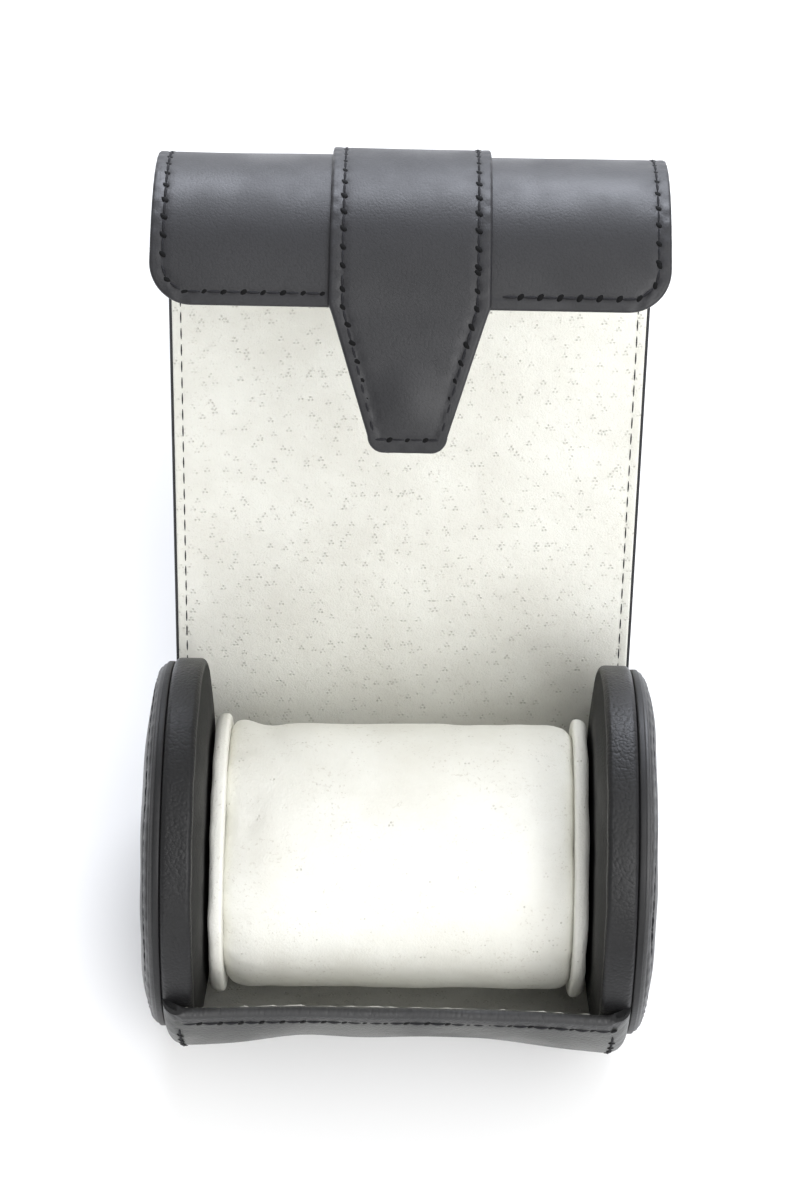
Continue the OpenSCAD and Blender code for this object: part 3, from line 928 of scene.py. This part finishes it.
# %% Wall leather
side_x = np.concatenate([[38.4], np.linspace(39.2, 44.5, 14), WALL_HALF - EDGE_STEPS[6::-1]])
lip_turn = np.linspace(-np.pi / 2, np.pi / 2, 15)
lower = np.concatenate([rows(LIP_R, 14, 0.35)[1:], rows(14, WALL_JOIN, 0.8)[1:]])
s_top = np.concatenate([[5.0, 3.0], LIP_R - LIP_R * np.cos(lip_turn), lower])[:, None]
t_top = np.concatenate([[-2 * LIP_R] * 2, -LIP_R + LIP_R * np.sin(lip_turn), 0 * lower])[:, None]
s_low = np.concatenate([[5.0, 3.0], LIP_R - LIP_FOLD * np.cos(lip_turn), lower])[:, None]
t_low = np.concatenate([[-1.45] * 2, -LIP_R + LIP_FOLD * np.sin(lip_turn),
                        np.maximum(-LEATHER, -0.95 - 0.05 * (lower - LIP_R))])[:, None]
x = mirrored(side_x, 44) + 0 * s_top
outer = (np.arange(len(s_top)) >= 2 + len(lip_turn) // 2)[:, None]
s_path = np.concatenate([0 * s_top[:-len(lower)], lower[:, None]]) + 0 * x
e = WALL_HALF - np.abs(x)
lip_groove = bell(s_path, LIP_SEAM, 0.6) * (0.6 - 0.4 * np.cos(2 * np.pi * x / LIP_PITCH))
relief = (seam_relief(e, s_path - LAY_ZERO, WALL_SEAM) - 0.22 * lip_groove * (np.abs(x) < 43)
          + 0.12 * hills(x, s_path, 30, 11))
drawn, rise = waist(x, s_top) + side_turn(x, s_top), lip_rise(x, s_top)
top = t_top - drawn + (relief - fall(e, 0.5)) * outer
over = place(wall_trail, x, s_top - rise, top)
over[..., 2] = np.maximum(over[..., 2], 0.0)
under = place(wall_trail, x, s_low - rise, np.minimum(t_low - drawn, top - 0.05))
piece = slab("wall_leather", over, under, stack(x, s_top - LAY_ZERO))
finish_piece(piece, front_leather, "smooth_leather", "body_leather", body="case_body")
print("wall leather has", len(piece.data.polygons), "faces")

# %% [markdown]
# Under the leather lies a thin board that keeps the wall round, and the suede is glued to it. Its
# cut edge behind the lip is not quite straight, so its first row wanders by a few tenths.

# %% Wall board and lining
BOARD_OUT, BOARD_IN, LINING_TOP, LINING_FACE = -1.3, -2.3, -2.42, -3.22
x, s = np.broadcast_arrays(np.linspace(-44.0, 44.0, 60), rows(2.2, WALL_JOIN - 3.0, 1.0)[:, None])
drawn = waist(x, s) + side_turn(x, s)
board = slab("wall_board", place(wall_trail, x, s, BOARD_OUT - drawn),
             place(wall_trail, x, s, BOARD_IN - drawn), stack(x, s))
finish_piece(board, grey_board, "stiff_board", "body_board", body="case_body")

x = mirrored(np.linspace(37.5, 43.5, 13), 69)
steps = np.concatenate([[0, 0.12, 0.3, 0.6, 1.0, 1.6, 2.4], rows(3.4, WALL_JOIN, 0.9)])
x, steps = np.broadcast_arrays(x, steps[:, None])
ragged = 1.4 + 0.3 * hills(x, 0 * x, 5.5, 21) + 0.3 * hills(x, 0 * x, 1.7, 22)
s = np.where(steps < 3, ragged + steps * (3.4 - ragged) / 3.4, steps)
rounding = fall(steps, 0.3)
top = LINING_TOP - waist(x, s) - rounding * 0.6
low = (LINING_FACE - waist(x, s) - 0.12 * hills(x, s, 16, 23) + rounding
       + 0.42 * (1 - ramp(steps, 0.2, 3.0)))
lining = slab("wall_suede", place(wall_trail, x, s, top), place(wall_trail, x, s, low),
              stack(x, s - LAY_ZERO))
finish_piece(lining, lining_suede, "lining_suede", "body_lining", body="case_body")
print("wall board and lining:", len(board.data.polygons), len(lining.data.polygons), "faces")

# %% [markdown]
# A flat magnet lies in the wall, between leather and board, where the closed tongue's magnet
# comes to rest. It is a disc whose rings are turned to the wall's slope at that place.

# %% Wall magnet
MAGNET_AT, MAGNET_R, MAGNET_T = 218.0, 5.0, 0.8
s_magnet = math.radians(MAGNET_AT - LIP) * WALL_R
depth = float(waist(0.0, s_magnet)) + LEATHER + 0.36
my, mz, mh = (float(v) for v in wall_trail.at(s_magnet, -depth - MAGNET_T / 2))
a = np.arange(48) / 48 * 2 * np.pi
radius = np.array([0.3, MAGNET_R - 0.15, MAGNET_R, MAGNET_R, MAGNET_R - 0.15, 0.3])[:, None]
lift = np.array([-0.4, -0.4, -0.28, 0.28, 0.4, 0.4])[:, None]
u, v = radius * np.cos(a), radius * np.sin(a)
rings = stack(v, my + u * math.cos(mh) + lift * math.sin(mh),
              mz + u * math.sin(mh) - lift * math.cos(mh))
finish_piece(swept("hidden_magnet", rings, stack(u, v)), magnet_steel, "magnet_steel",
             "wall_magnet", body="case_body")
print("wall magnet at", round(my, 1), round(mz, 1))


# %% [markdown]
# ## End blocks and panels
# Each end is a round board with a flat foot. Inside, pebbled leather is drawn over its rim, which
# is rounded. Outside, a thin dark edge carries a padded face with a seam round it. All of them are
# one outline drawn in step by step, so a piece is a profile: places along X, each with an inset.

# %% Profiles round the loaf
END_R, EDGE_R, PANEL_R, AROUND = 37.5, 36.8, 36.3, 264


def quarter(centre_x, centre_in, r, a0, a1, n):
    """Points of a round rim in the profile: x and inset on a circle, from a0 to a1 degrees."""
    a = np.radians(np.linspace(a0, a1, n))
    return centre_x + r * np.cos(a), centre_in - r * np.sin(a)


def profile(*parts):
    """Joins parts of a profile, each a pair of x places and insets, into two arrays."""
    return (np.concatenate(values) for values in zip(*parts))


def loaf_piece(name, side, radius, px, pin, first, relief=None, backwards=False):
    """A profile taken round the loaf. Each ring is the outline at the radius, scaled about the
    middle to draw it in. The lay map is unrolled from the middle, by the profile's length."""
    s = np.arange(AROUND) / AROUND * LOAF_LEN
    y, z, _ = loaf_trail.at(s, radius - WALL_R)
    scale = ((radius - pin) / radius)[:, None]
    flat = stack(y * scale, (z - MID_Z) * scale)
    rings = stack(px[:, None], flat[..., 0], MID_Z + flat[..., 1])
    if relief:
        rings[..., 0] += relief(rings[..., 1], rings[..., 2], s[None] * (radius / WALL_R))
    rings[..., 0] *= side
    step = np.hypot(np.diff(px), np.diff(pin))
    run = np.cumsum(np.append(0, step[::-1]))[::-1] if backwards else np.cumsum(np.append(0, step))
    flat = flat / np.maximum(np.linalg.norm(flat, axis=-1, keepdims=True), 1e-6)
    return swept(name, rings, flat * (run + first)[:, None, None])


print("each loaf ring has", AROUND, "points")


# %% End pads and panel edges
PAD_FACE, PAD_HOLLOW, PAD_RIM, PAD_BACK, RIM_R = 38.6, 1.2, 40.9, 44.83, 1.1
EDGE_IN, EDGE_OUT, EDGE_RIM = 45.96, 47.5, 0.4


def end_pad(side, label):
    """Pebbled pad inside the panel: a hollow face, a rounded rim and a flat back."""
    face_in = np.array([35.5, 30, 24, 18, 14, 10.5, 8, 6, 4.4, 3.2, 2.2, 1.6])
    face_x = PAD_FACE + PAD_HOLLOW * np.maximum(1 - (face_in - RIM_R) / 12, 0) ** 2
    px, pin = profile((face_x, face_in), quarter(PAD_RIM, RIM_R, RIM_R, 180, 90, 11),
                      ([41.8, 42.7, 43.7], [0, 0, 0]),
                      quarter(PAD_BACK, RIM_R, RIM_R, 90, 0, 7),
                      ([PAD_BACK + RIM_R] * 2, [6, 36]))
    pad = loaf_piece(f"{label}_end_pad", side, END_R, px, pin, 2.0,
                     lambda y, z, s: 0.06 * hills(y, z, 17, 31) * (px < 41)[:, None])
    finish_piece(pad, pebbled_leather, "pebbled_leather", f"{label}_end_cover", body="case_body")


def panel_edge(side, label):
    """Dark edge of the panel: a thin board with both rims rounded."""
    px, pin = profile(([EDGE_IN] * 2, [36, 6]),
                      quarter(EDGE_IN + EDGE_RIM, EDGE_RIM, EDGE_RIM, 180, 90, 5),
                      quarter(EDGE_OUT - EDGE_RIM, EDGE_RIM, EDGE_RIM, 90, 0, 5),
                      ([EDGE_OUT] * 2, [6, 36]))
    edge = loaf_piece(f"{label}_panel_edge", side, EDGE_R, px, pin, 0.8)
    finish_piece(edge, edge_leather, "stiff_board", f"{label}_panel_board", body="case_body")


print("panel edge", round(EDGE_OUT - EDGE_IN, 2), "mm thick")

# %% [markdown]
# The outer face is padded and stitched round, so it rises from its edge, dips at the seam and
# stays nearly flat. Inflating it would give a dome, which the real one isn't, so its height is a
# formula and the seam's relief is added to it.

# %% Panel faces
PANEL_SEAM, FACE_BACK, FACE_X, FACE_RIM, FACE_DOME = 2.5, 47.4, 48.3, 0.6, 2.5


def face_height(inset):
    """Padded face: one less the fifth power of the share of the radius, to the power 0.6."""
    part = (PANEL_R - inset) / (PANEL_R - FACE_RIM)
    return FACE_X + FACE_DOME * np.maximum(1 - part ** 5, 0) ** 0.6


def panel_face(side, label):
    """Padded face with its seam and soft waves, and a small round rim behind it."""
    face_in = np.concatenate([np.linspace(0.64, 5.0, 21),
                              [5.8, 6.8, 8.2, 10, 12.5, 15.5, 19, 24, 30, 35.5]])
    px, pin = profile(([FACE_BACK] * 2, [30, 0.0]),
                      quarter(FACE_X - FACE_RIM, FACE_RIM, FACE_RIM, 90, 0, 9),
                      (face_height(face_in), face_in))
    on_face = (np.arange(len(px)) >= len(px) - len(face_in))[:, None]

    def quilted(y, z, s):
        seam = seam_relief(pin[:, None] + 0 * s, s, PANEL_SEAM, PITCH, 0.5, 0.1)
        return on_face * (seam + 0.12 * hills(y, z, 22, 41 + side))

    face = loaf_piece(f"{label}_panel_face", side, PANEL_R, px, pin, 0.8, quilted, backwards=True)
    finish_piece(face, panel_leather, "panel_leather", f"{label}_panel_cover", body="case_body")


for side, label in ((-1, "left"), (1, "right")):
    end_pad(side, label)
    panel_edge(side, label)
    panel_face(side, label)


# %% [markdown]
# ## Cushion
# The bolster is a soft suede roll with a disc sewn on at each end. Its skin starts as rings of an
# oval, between an ellipse and a box with round corners. Then a short cloth simulation inflates
# a voxel copy of it, which gives the uneven swell of a stuffed piece.

# %% Cushion rings
CUSHION_W, CUSHION_H, CUSHION_Z, CUSHION_Y = 57.0, 46.0, 26.5, 0.9
BODY_END, DISC_IN, DISC_OUT = 34.9, 34.95, 37.8
OVAL_POWER, CUSHION_AROUND = 0.86, 120


def oval_rings(xs, inset, wide, extra):
    """Rings of the oval: cosine and sine to the power 0.86 times half the width and height."""
    a = np.arange(CUSHION_AROUND) / CUSHION_AROUND * 2 * np.pi
    c, s = np.cos(a), np.sin(a)
    inset = inset[:, None] + extra(xs[:, None], a[None])
    y = np.sign(c) * np.abs(c) ** OVAL_POWER * np.maximum(wide / 2 - inset, 0.4)
    z = np.sign(s) * np.abs(s) ** OVAL_POWER * np.maximum(CUSHION_H / 2 - inset, 0.3)
    return stack(xs[:, None], y + CUSHION_Y, z + CUSHION_Z)


print("cushion", CUSHION_W, "by", CUSHION_H, "by", 2 * DISC_OUT, "mm")


# %% Inflating
def vertices(mesh):
    """Places of a mesh's points, in metres."""
    co = np.empty(3 * len(mesh.vertices))
    mesh.vertices.foreach_get("co", co)
    return co.reshape(-1, 3)


def evaluated(piece):
    """New mesh of a piece as its modifiers leave it."""
    return bpy.data.meshes.new_from_object(
        piece.evaluated_get(bpy.context.evaluated_depsgraph_get()))


def puff(piece, voxel, swell, pressure, frames=14):
    """Cloth simulation: inflates a voxel copy of the piece, and caps how far a point may go."""
    mesh = piece.data
    bpy.context.view_layer.objects.active = piece
    remesh = piece.modifiers.new("remesh", "REMESH")
    remesh.mode, remesh.voxel_size = "VOXEL", voxel
    bpy.context.view_layer.update()
    fine = evaluated(piece)
    piece.modifiers.clear()
    piece.data = fine
    cloth = piece.modifiers.new("cloth", "CLOTH")
    c = cloth.settings
    c.quality, c.mass, c.air_damping = 6, 0.0006, 3.0
    c.tension_stiffness = c.compression_stiffness = 12
    c.shear_stiffness, c.bending_stiffness = 6, 0.4
    c.use_pressure, c.uniform_pressure_force = True, pressure
    c.effector_weights.gravity = 0
    cloth.point_cache.frame_start, cloth.point_cache.frame_end = 1, frames
    for frame_number in range(1, frames + 1):
        bpy.context.scene.frame_set(frame_number)
    moved = evaluated(piece)
    before = vertices(fine)
    shift = vertices(moved) - before
    far = np.linalg.norm(shift, axis=1, keepdims=True)
    print(piece.name, "swells", round(float(far.max()) / MM, 2), "mm at most")
    shift *= np.tanh(far / (swell * MM)) * swell * MM / np.maximum(far, 1e-9)
    fine.vertices.foreach_set("co", (before + shift).ravel())
    piece.modifiers.clear()
    bpy.data.meshes.remove(moved)
    bpy.context.scene.frame_set(1)
    bpy.data.meshes.remove(mesh)
    smooth = piece.modifiers.new("smooth", "SUBSURF")
    smooth.levels = smooth.render_levels = 1
    fine.shade_smooth()
    return piece


print("simulation", "runs for the cushion's body")

# %% Cushion body
KNOT_END = 33.3
knots = np.array([-33.3, -33.1, -32.6, -30.8, -28.6, -26.3, -21, -12, 0, 12, 22, 27, 31.0, 32.6,
                  33.1, 33.3]) * BODY_END / KNOT_END
insets = [2.9, 1.9, 1.2, 0.8, 0.9, 1.35, 1.25, 1.2, 1.2, 1.2, 1.25, 1.3, 1.1, 1.4, 2.0, 3.0]
xs = np.concatenate([np.linspace(-BODY_END, -30, 16), np.linspace(-29, 29, 50),
                     np.linspace(30, BODY_END, 16)])


def dents(x, a):
    """The back of the roll swells near its left end and is pulled in beside that."""
    back = np.clip(np.cos(a), 0, 1) ** 2 * (1.1 * bell(x, -27.2, 3.2) - 0.7 * bell(x, -32.3, 2.2))
    return back + 0.28 * hills(x, a * 20, 24, 51) + 0.1 * hills(x, a * 20, 9, 52)


rings = oval_rings(xs, np.interp(xs, knots, insets), CUSHION_W, dents)
roll = puff(swept("cushion_roll", rings, rings[..., :2]), voxel=0.0021, swell=1.1, pressure=900.0)
finish_piece(roll, cushion_suede, "cushion_suede", "cushion_cover", body="cushion")
print("cushion points", len(roll.data.vertices))

# %% [markdown]
# The two discs are thin and firm and show as a ring at each end, so they are modelled directly: a
# profile with a wide round outer rim, taken round the same oval.

# %% Cushion discs
for side, label in ((-1, "left"), (1, "right")):
    face_in = np.array([2.3, 3.2, 4.4, 6, 9, 13, 18, 22.5])
    face_x = DISC_OUT - 0.1 - 0.35 * (1 - np.clip(face_in / 12, 0, 1)) ** 2
    px, pin = profile(([DISC_IN] * 3, [22.5, 8, 1.5]),
                      quarter(DISC_IN + 0.8, 0.8, 0.8, 180, 90, 7),
                      quarter(DISC_OUT - 1.75, 1.7, 1.7, 90, 8, 10), (face_x, face_in))
    rings = oval_rings(px, pin, CUSHION_W - 0.2,
                       lambda x, a: 0.16 * hills(a * 24, 0 * a + 7 * side, 18, 61))
    outside = (px > 37.0)[:, None]
    rings[..., 0] += 0.12 * hills(rings[..., 1], rings[..., 2], 13, 62 + side) * outside
    rings[..., 0] *= side
    disc = swept(f"{label}_cushion_end", rings, rings[..., 1:])
    finish_piece(disc, cushion_suede, "cushion_suede", f"{label}_cushion_disc", body="cushion")
    print(disc.name, len(disc.data.vertices), "points")


# %% [markdown]
# ## Stitching
# With the sheets in place, every seam gets its thread. A lid thread piece holds the stitches of
# one strip, outside and inside, and goes through bend just as its strip does.

# %% Stitch sizes and paths
OUT_STITCH = dict(length=2.9, thick=0.25, rise=0.08, sink=0.12)
IN_STITCH = dict(length=2.5, thick=0.14, rise=0.05, sink=0.07)
STRAP_STITCH = dict(length=2.7, thick=0.25, rise=0.08, sink=0.12)
LIP_STITCH = dict(length=3.0, thick=0.3, rise=0.06, sink=0.14)
LID_SEAT, STRAP_SEAT, WALL_SEAT = HALF_LID - 0.14, STRAP_TOP - 0.14, -0.12
TONGUE_SEAM = TONGUE_END - STRAP_SEAM
TONGUE_SIDE = TONGUE_SEAM - BORDERS[9]
TONGUE_TIP = TIP_HALF - STRAP_SEAM + 0.9
FLAP_TURN = (FLAP_ROUND - SEAM) * np.pi / 2
FLAP_ACROSS = 2 * (LID_HALF - FLAP_ROUND)


def thread_piece(name, made, slot="smooth_leather", body=None):
    """One mesh from several stitch rows, in the thread's material."""
    starts = np.cumsum([0] + [len(points) for points, _, _ in made])
    piece = make_piece(name, np.concatenate([points for points, _, _ in made]),
                       np.concatenate([faces + n for (_, faces, _), n in zip(made, starts)]),
                       np.concatenate([lay for _, _, lay in made]), smooth_angle=80, merge=False)
    return finish_piece(piece, thread, slot, body=body)


def beat_places(a, b, pitch):
    """Distances between a and b where the seam relief is deepest halfway between two holes."""
    return (np.arange(math.ceil(a / pitch - 0.5), math.ceil(b / pitch - 0.5)) + 0.5) * pitch


def path_stitches(trail, path, total, pitch, t, outward=1, clear=0.0):
    """Stitches along a path on a sheet, at least clear from its middle line. Their directions
    come from points either side."""
    u = np.arange(pitch / 2, total, pitch)
    u = u[np.abs(path(u)[0]) > clear]
    (x, s), ends = path(u), [path(u - 0.6), path(u + 0.6)]
    centre, _, up = on_sheet(trail, x, s, t, outward)
    before, after = (place(trail, *end, t) for end in ends)
    return centre, after - before, up


print("tongue seam", round(2 * (TONGUE_SIDE + TONGUE_TIP), 1), "mm long")


# %% Lid thread
def flap_path(u):
    """Seam of the flap round one corner, across and round the other: x and s at distance u."""
    r = FLAP_ROUND - SEAM
    first = np.clip(u / r, 0, np.pi / 2)
    last = np.clip((u - FLAP_TURN - FLAP_ACROSS) / r, 0, np.pi / 2)
    x = (np.clip(u - FLAP_TURN, 0, FLAP_ACROSS) - FLAP_ACROSS / 2
         - r * np.cos(first) + r * np.sin(last))
    return x, LID_END - FLAP_ROUND + r * np.sin(first) - r * (1 - np.cos(last))


for k in range(1, 11):
    made = []
    if k < 10:
        s = beat_places(BORDERS[k - 1], min(BORDERS[k], LID_END - FLAP_ROUND), PITCH)
        for sign in (-1, 1):
            x = sign * (lid_half(s, LID_HALF) - SEAM)
            made += sewn(*on_sheet(lid_trail, x, s, LID_SEAT), PITCH, **OUT_STITCH)
            made.append(stitch_row(*on_sheet(lid_trail, x, s, lid_inside(x, s), -1), **IN_STITCH))
    else:
        total = 2 * FLAP_TURN + FLAP_ACROSS
        outside = path_stitches(lid_trail, flap_path, total, PITCH, LID_SEAT, clear=STRAP_HALF + 1)
        within = path_stitches(lid_trail, flap_path, total, PITCH, -HALF_LID + 0.1, -1)
        made = sewn(*outside, PITCH, **OUT_STITCH) + [stitch_row(*within, **IN_STITCH)]
    piece = thread_piece(f"lid_thread_{k}", made)
    if k < 10:
        bend(piece, k)
    else:
        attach(piece, "flap")

# %% Strap thread
for k in range(3, 10):
    s = beat_places(max(STRAP_START + 1, BORDERS[k - 1]), BORDERS[k], STRAP_PITCH)
    made = []
    for sign in (-1, 1):
        seam = on_sheet(lid_trail, sign * (STRAP_HALF - STRAP_SEAM), s, STRAP_SEAT)
        made += sewn(*seam, STRAP_PITCH, **STRAP_STITCH)
    if k == 3:
        x = np.arange(-3.5, 3.6) * STRAP_PITCH
        seam = across_sheet(lid_trail, x, STRAP_START + STRAP_SEAM, STRAP_SEAT)
        made += sewn(*seam, STRAP_PITCH, **STRAP_STITCH)
    piece = thread_piece(f"strap_thread_{k}", made)
    if k > 3:
        bend(piece, k)
    else:
        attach(piece, "lid_3")


# %% Tongue thread
def tongue_path(u):
    """Seam of the tongue: down one tapered side, across the tip and up the other."""
    back = u - TONGUE_SIDE - 2 * TONGUE_TIP
    s = np.where(back < 0, TONGUE_SEAM, TONGUE_SEAM - back)
    s = np.where(u < TONGUE_SIDE, BORDERS[9] + u, s)
    strap = STRAP_HALF - STRAP_SEAM
    wide = np.interp(s, [BORDERS[9], LID_END, TONGUE_SEAM - 1.2, TONGUE_SEAM],
                     [strap, strap - 0.1, TONGUE_TIP + 0.45, TONGUE_TIP])
    across = np.where(back < 0, u - TONGUE_SIDE - TONGUE_TIP, wide)
    return np.where(u < TONGUE_SIDE, -wide, across), s


total = 2 * TONGUE_SIDE + 2 * TONGUE_TIP
pitch = total / round(total / STRAP_PITCH)
made = sewn(*path_stitches(tongue_trail, tongue_path, total, pitch, STRAP_SEAT), STRAP_PITCH,
            **STRAP_STITCH)
bend_tongue(thread_piece("tongue_thread", made))
print("tongue stitches", round(total / STRAP_PITCH))

# %% Wall thread
x_lip = np.arange(-10, 11) * LIP_PITCH
s = LIP_SEAM - lip_rise(x_lip, LIP_SEAM)
height = WALL_SEAT - waist(x_lip, s) - side_turn(x_lip, s)
made = sewn(*across_sheet(wall_trail, x_lip, s, height), LIP_PITCH, **LIP_STITCH)
s = beat_places(LIP_SEAM + 1.6 - LAY_ZERO, -6.0, PITCH) + LAY_ZERO
s = s[(s < WALL_JOIN - 1) & (wall_trail.at(s)[1] > 0.8)]
for sign in (-1, 1):
    x = sign * (WALL_HALF - WALL_SEAM)
    slope = (side_turn(x + sign * 0.1, s) - side_turn(x - sign * 0.1, s)) / 0.2
    centre, along, up = on_sheet(wall_trail, x, s, WALL_SEAT - side_turn(x, s))
    made += sewn(centre, along, up + sign * slope[:, None] * [1, 0, 0], PITCH, **OUT_STITCH)
thread_piece("wall_thread", made, body="case_body")
print("wall stitches", len(x_lip) + 2 * len(s))

# %% Panel thread
count = int(LOAF_LEN * PANEL_R / WALL_R / PITCH)
s = (np.arange(count) + 0.5) / count * LOAF_LEN
y, z, h = loaf_trail.at(s, PANEL_R - WALL_R)
scale = (PANEL_R - PANEL_SEAM) / PANEL_R
slope = (face_height(PANEL_SEAM + 0.1) - face_height(PANEL_SEAM - 0.1)) / 0.2
for side, label in ((-1, "left"), (1, "right")):
    centre = stack(side * (face_height(PANEL_SEAM) - 0.3), y * scale, MID_Z + (z - MID_Z) * scale)
    up = stack(side + 0 * s, slope * np.sin(h), -slope * np.cos(h))
    made = sewn(centre, stack(0.0, np.cos(h), np.sin(h)), up, PITCH, **OUT_STITCH)
    thread_piece(f"{label}_panel_thread", made, "panel_leather", "case_body")


# %% [markdown]
# ## Pieces that stay as the CAD has them
# The end cores, the tongue's magnet and the foam core are hidden in the real case as well, and
# their CAD shape is right. They only get their own finish. Its pattern reads Object coordinates.

# %% Finishes for the CAD nodes
for name, material in (("left_end_core", fibreboard), ("right_end_core", fibreboard),
                       ("tongue_magnet", magnet_steel), ("cushion_core", foam)):
    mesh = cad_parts[name].data
    mesh.materials.clear()
    mesh.materials.append(material)
    print(name, "is", material.name)

# %% [markdown]
# ## Floor, light and camera
# The floor and the world are nearly white. A large soft lamp at the right and in front gives the
# main light and the faint shadow at the left, one above fills in, a weak one in front lights the
# tongue, and a cool one behind brightens the curl of the lid. The camera sees a brighter world
# than the leather does, which keeps the background white and the leather dark.

# %% Floor
FLOOR_GLOW = 0.1
bpy.ops.mesh.primitive_plane_add(size=6)
floor = bpy.context.object
floor.name = "floor"
material, w, shader, where = start_material("paper", lay=False)
paper = w.mix(w.noise(where, 3.0, 2.0), (0.93, 0.93, 0.93, 1), (0.95, 0.95, 0.95, 1))
w.feed(shader.inputs, Base_Color=paper, Roughness=0.9, Specular_IOR_Level=0.1)
glow = w.node("Emission")
glow.inputs["Color"].default_value = WHITE
rays = w.node("LightPath").outputs
blend_in = w.node("MixShader")
for i, value in enumerate((w.times(rays["Is Camera Ray"], FLOOR_GLOW), shader.outputs[0],
                           glow.outputs[0])):
    w.fill(blend_in.inputs[i], value)
w.feed(material.node_tree.nodes["Material Output"].inputs, Surface=blend_in.outputs[0])
floor.data.materials.append(material)
print("floor glow to the camera:", FLOOR_GLOW)

# %% Light
WORLD_LOW, WORLD_HIGH, GLOSSY_SHARE = 0.5, 1.0, 0.4
world = bpy.data.worlds.new("studio")
bpy.context.scene.world = world
world.use_nodes = True
w = Wiring(world.node_tree)
rays = w.node("LightPath").outputs
seen = w.math("MAXIMUM", rays["Is Camera Ray"], w.times(rays["Is Glossy Ray"], GLOSSY_SHARE))
w.feed(world.node_tree.nodes["Background"].inputs, Color=WHITE,
       Strength=w.between(seen, 0.0, 1.0, WORLD_LOW, WORLD_HIGH))


def lamp(name, place_at, aim, size, power, colour=(1.0, 1.0, 1.0)):
    """Area lamp that faces its aim: its turn follows the line from the lamp to the aim."""
    light = bpy.data.lights.new(name, "AREA")
    light.shape, light.size, light.energy, light.color = "DISK", size, power, colour
    thing = bpy.data.objects.new(name, light)
    thing.location = place_at
    line = mathutils.Vector(aim) - mathutils.Vector(place_at)
    thing.rotation_euler = line.to_track_quat("-Z", "Y").to_euler()
    bpy.context.scene.collection.objects.link(thing)


lamp("key", (0.75, -0.95, 1.3), (0, 0, 0.05), size=1.4, power=17.0)
lamp("top", (0.55, -0.1, 1.65), (0, 0, 0.05), size=1.3, power=10.0)
lamp("front", (-0.4, -1.2, 0.5), (0, 0, 0.04), size=0.8, power=3.0)
lamp("back", (0.15, 1.4, 0.75), (0, 0.05, 0.1), size=1.0, power=32.0, colour=(0.86, 0.9, 1.0))
print(len(bpy.data.lights), "lamps")

# %% Camera
CAMERA_AT, CAMERA_LINE, CAMERA_ROLL = (-0.0008, -0.199, 0.661), (0.0, 0.3746, -0.9272), 1.05
camera_data = bpy.data.cameras.new("camera")
camera_data.sensor_fit, camera_data.sensor_height, camera_data.lens = "VERTICAL", 36.0, 96.9
camera_data.clip_start, camera_data.clip_end = 0.01, 20
camera = bpy.data.objects.new("camera", camera_data)
camera.location = CAMERA_AT
roll_turn = mathutils.Quaternion((0, 0, 1), math.radians(CAMERA_ROLL))
aim = mathutils.Vector(CAMERA_LINE).to_track_quat("-Z", "Y")
camera.rotation_euler = (aim @ roll_turn).to_euler()
bpy.context.scene.collection.objects.link(camera)
bpy.context.scene.camera = camera
bpy.context.scene.view_settings.view_transform = "Standard"
print("camera at", CAMERA_AT, "lens", camera_data.lens)
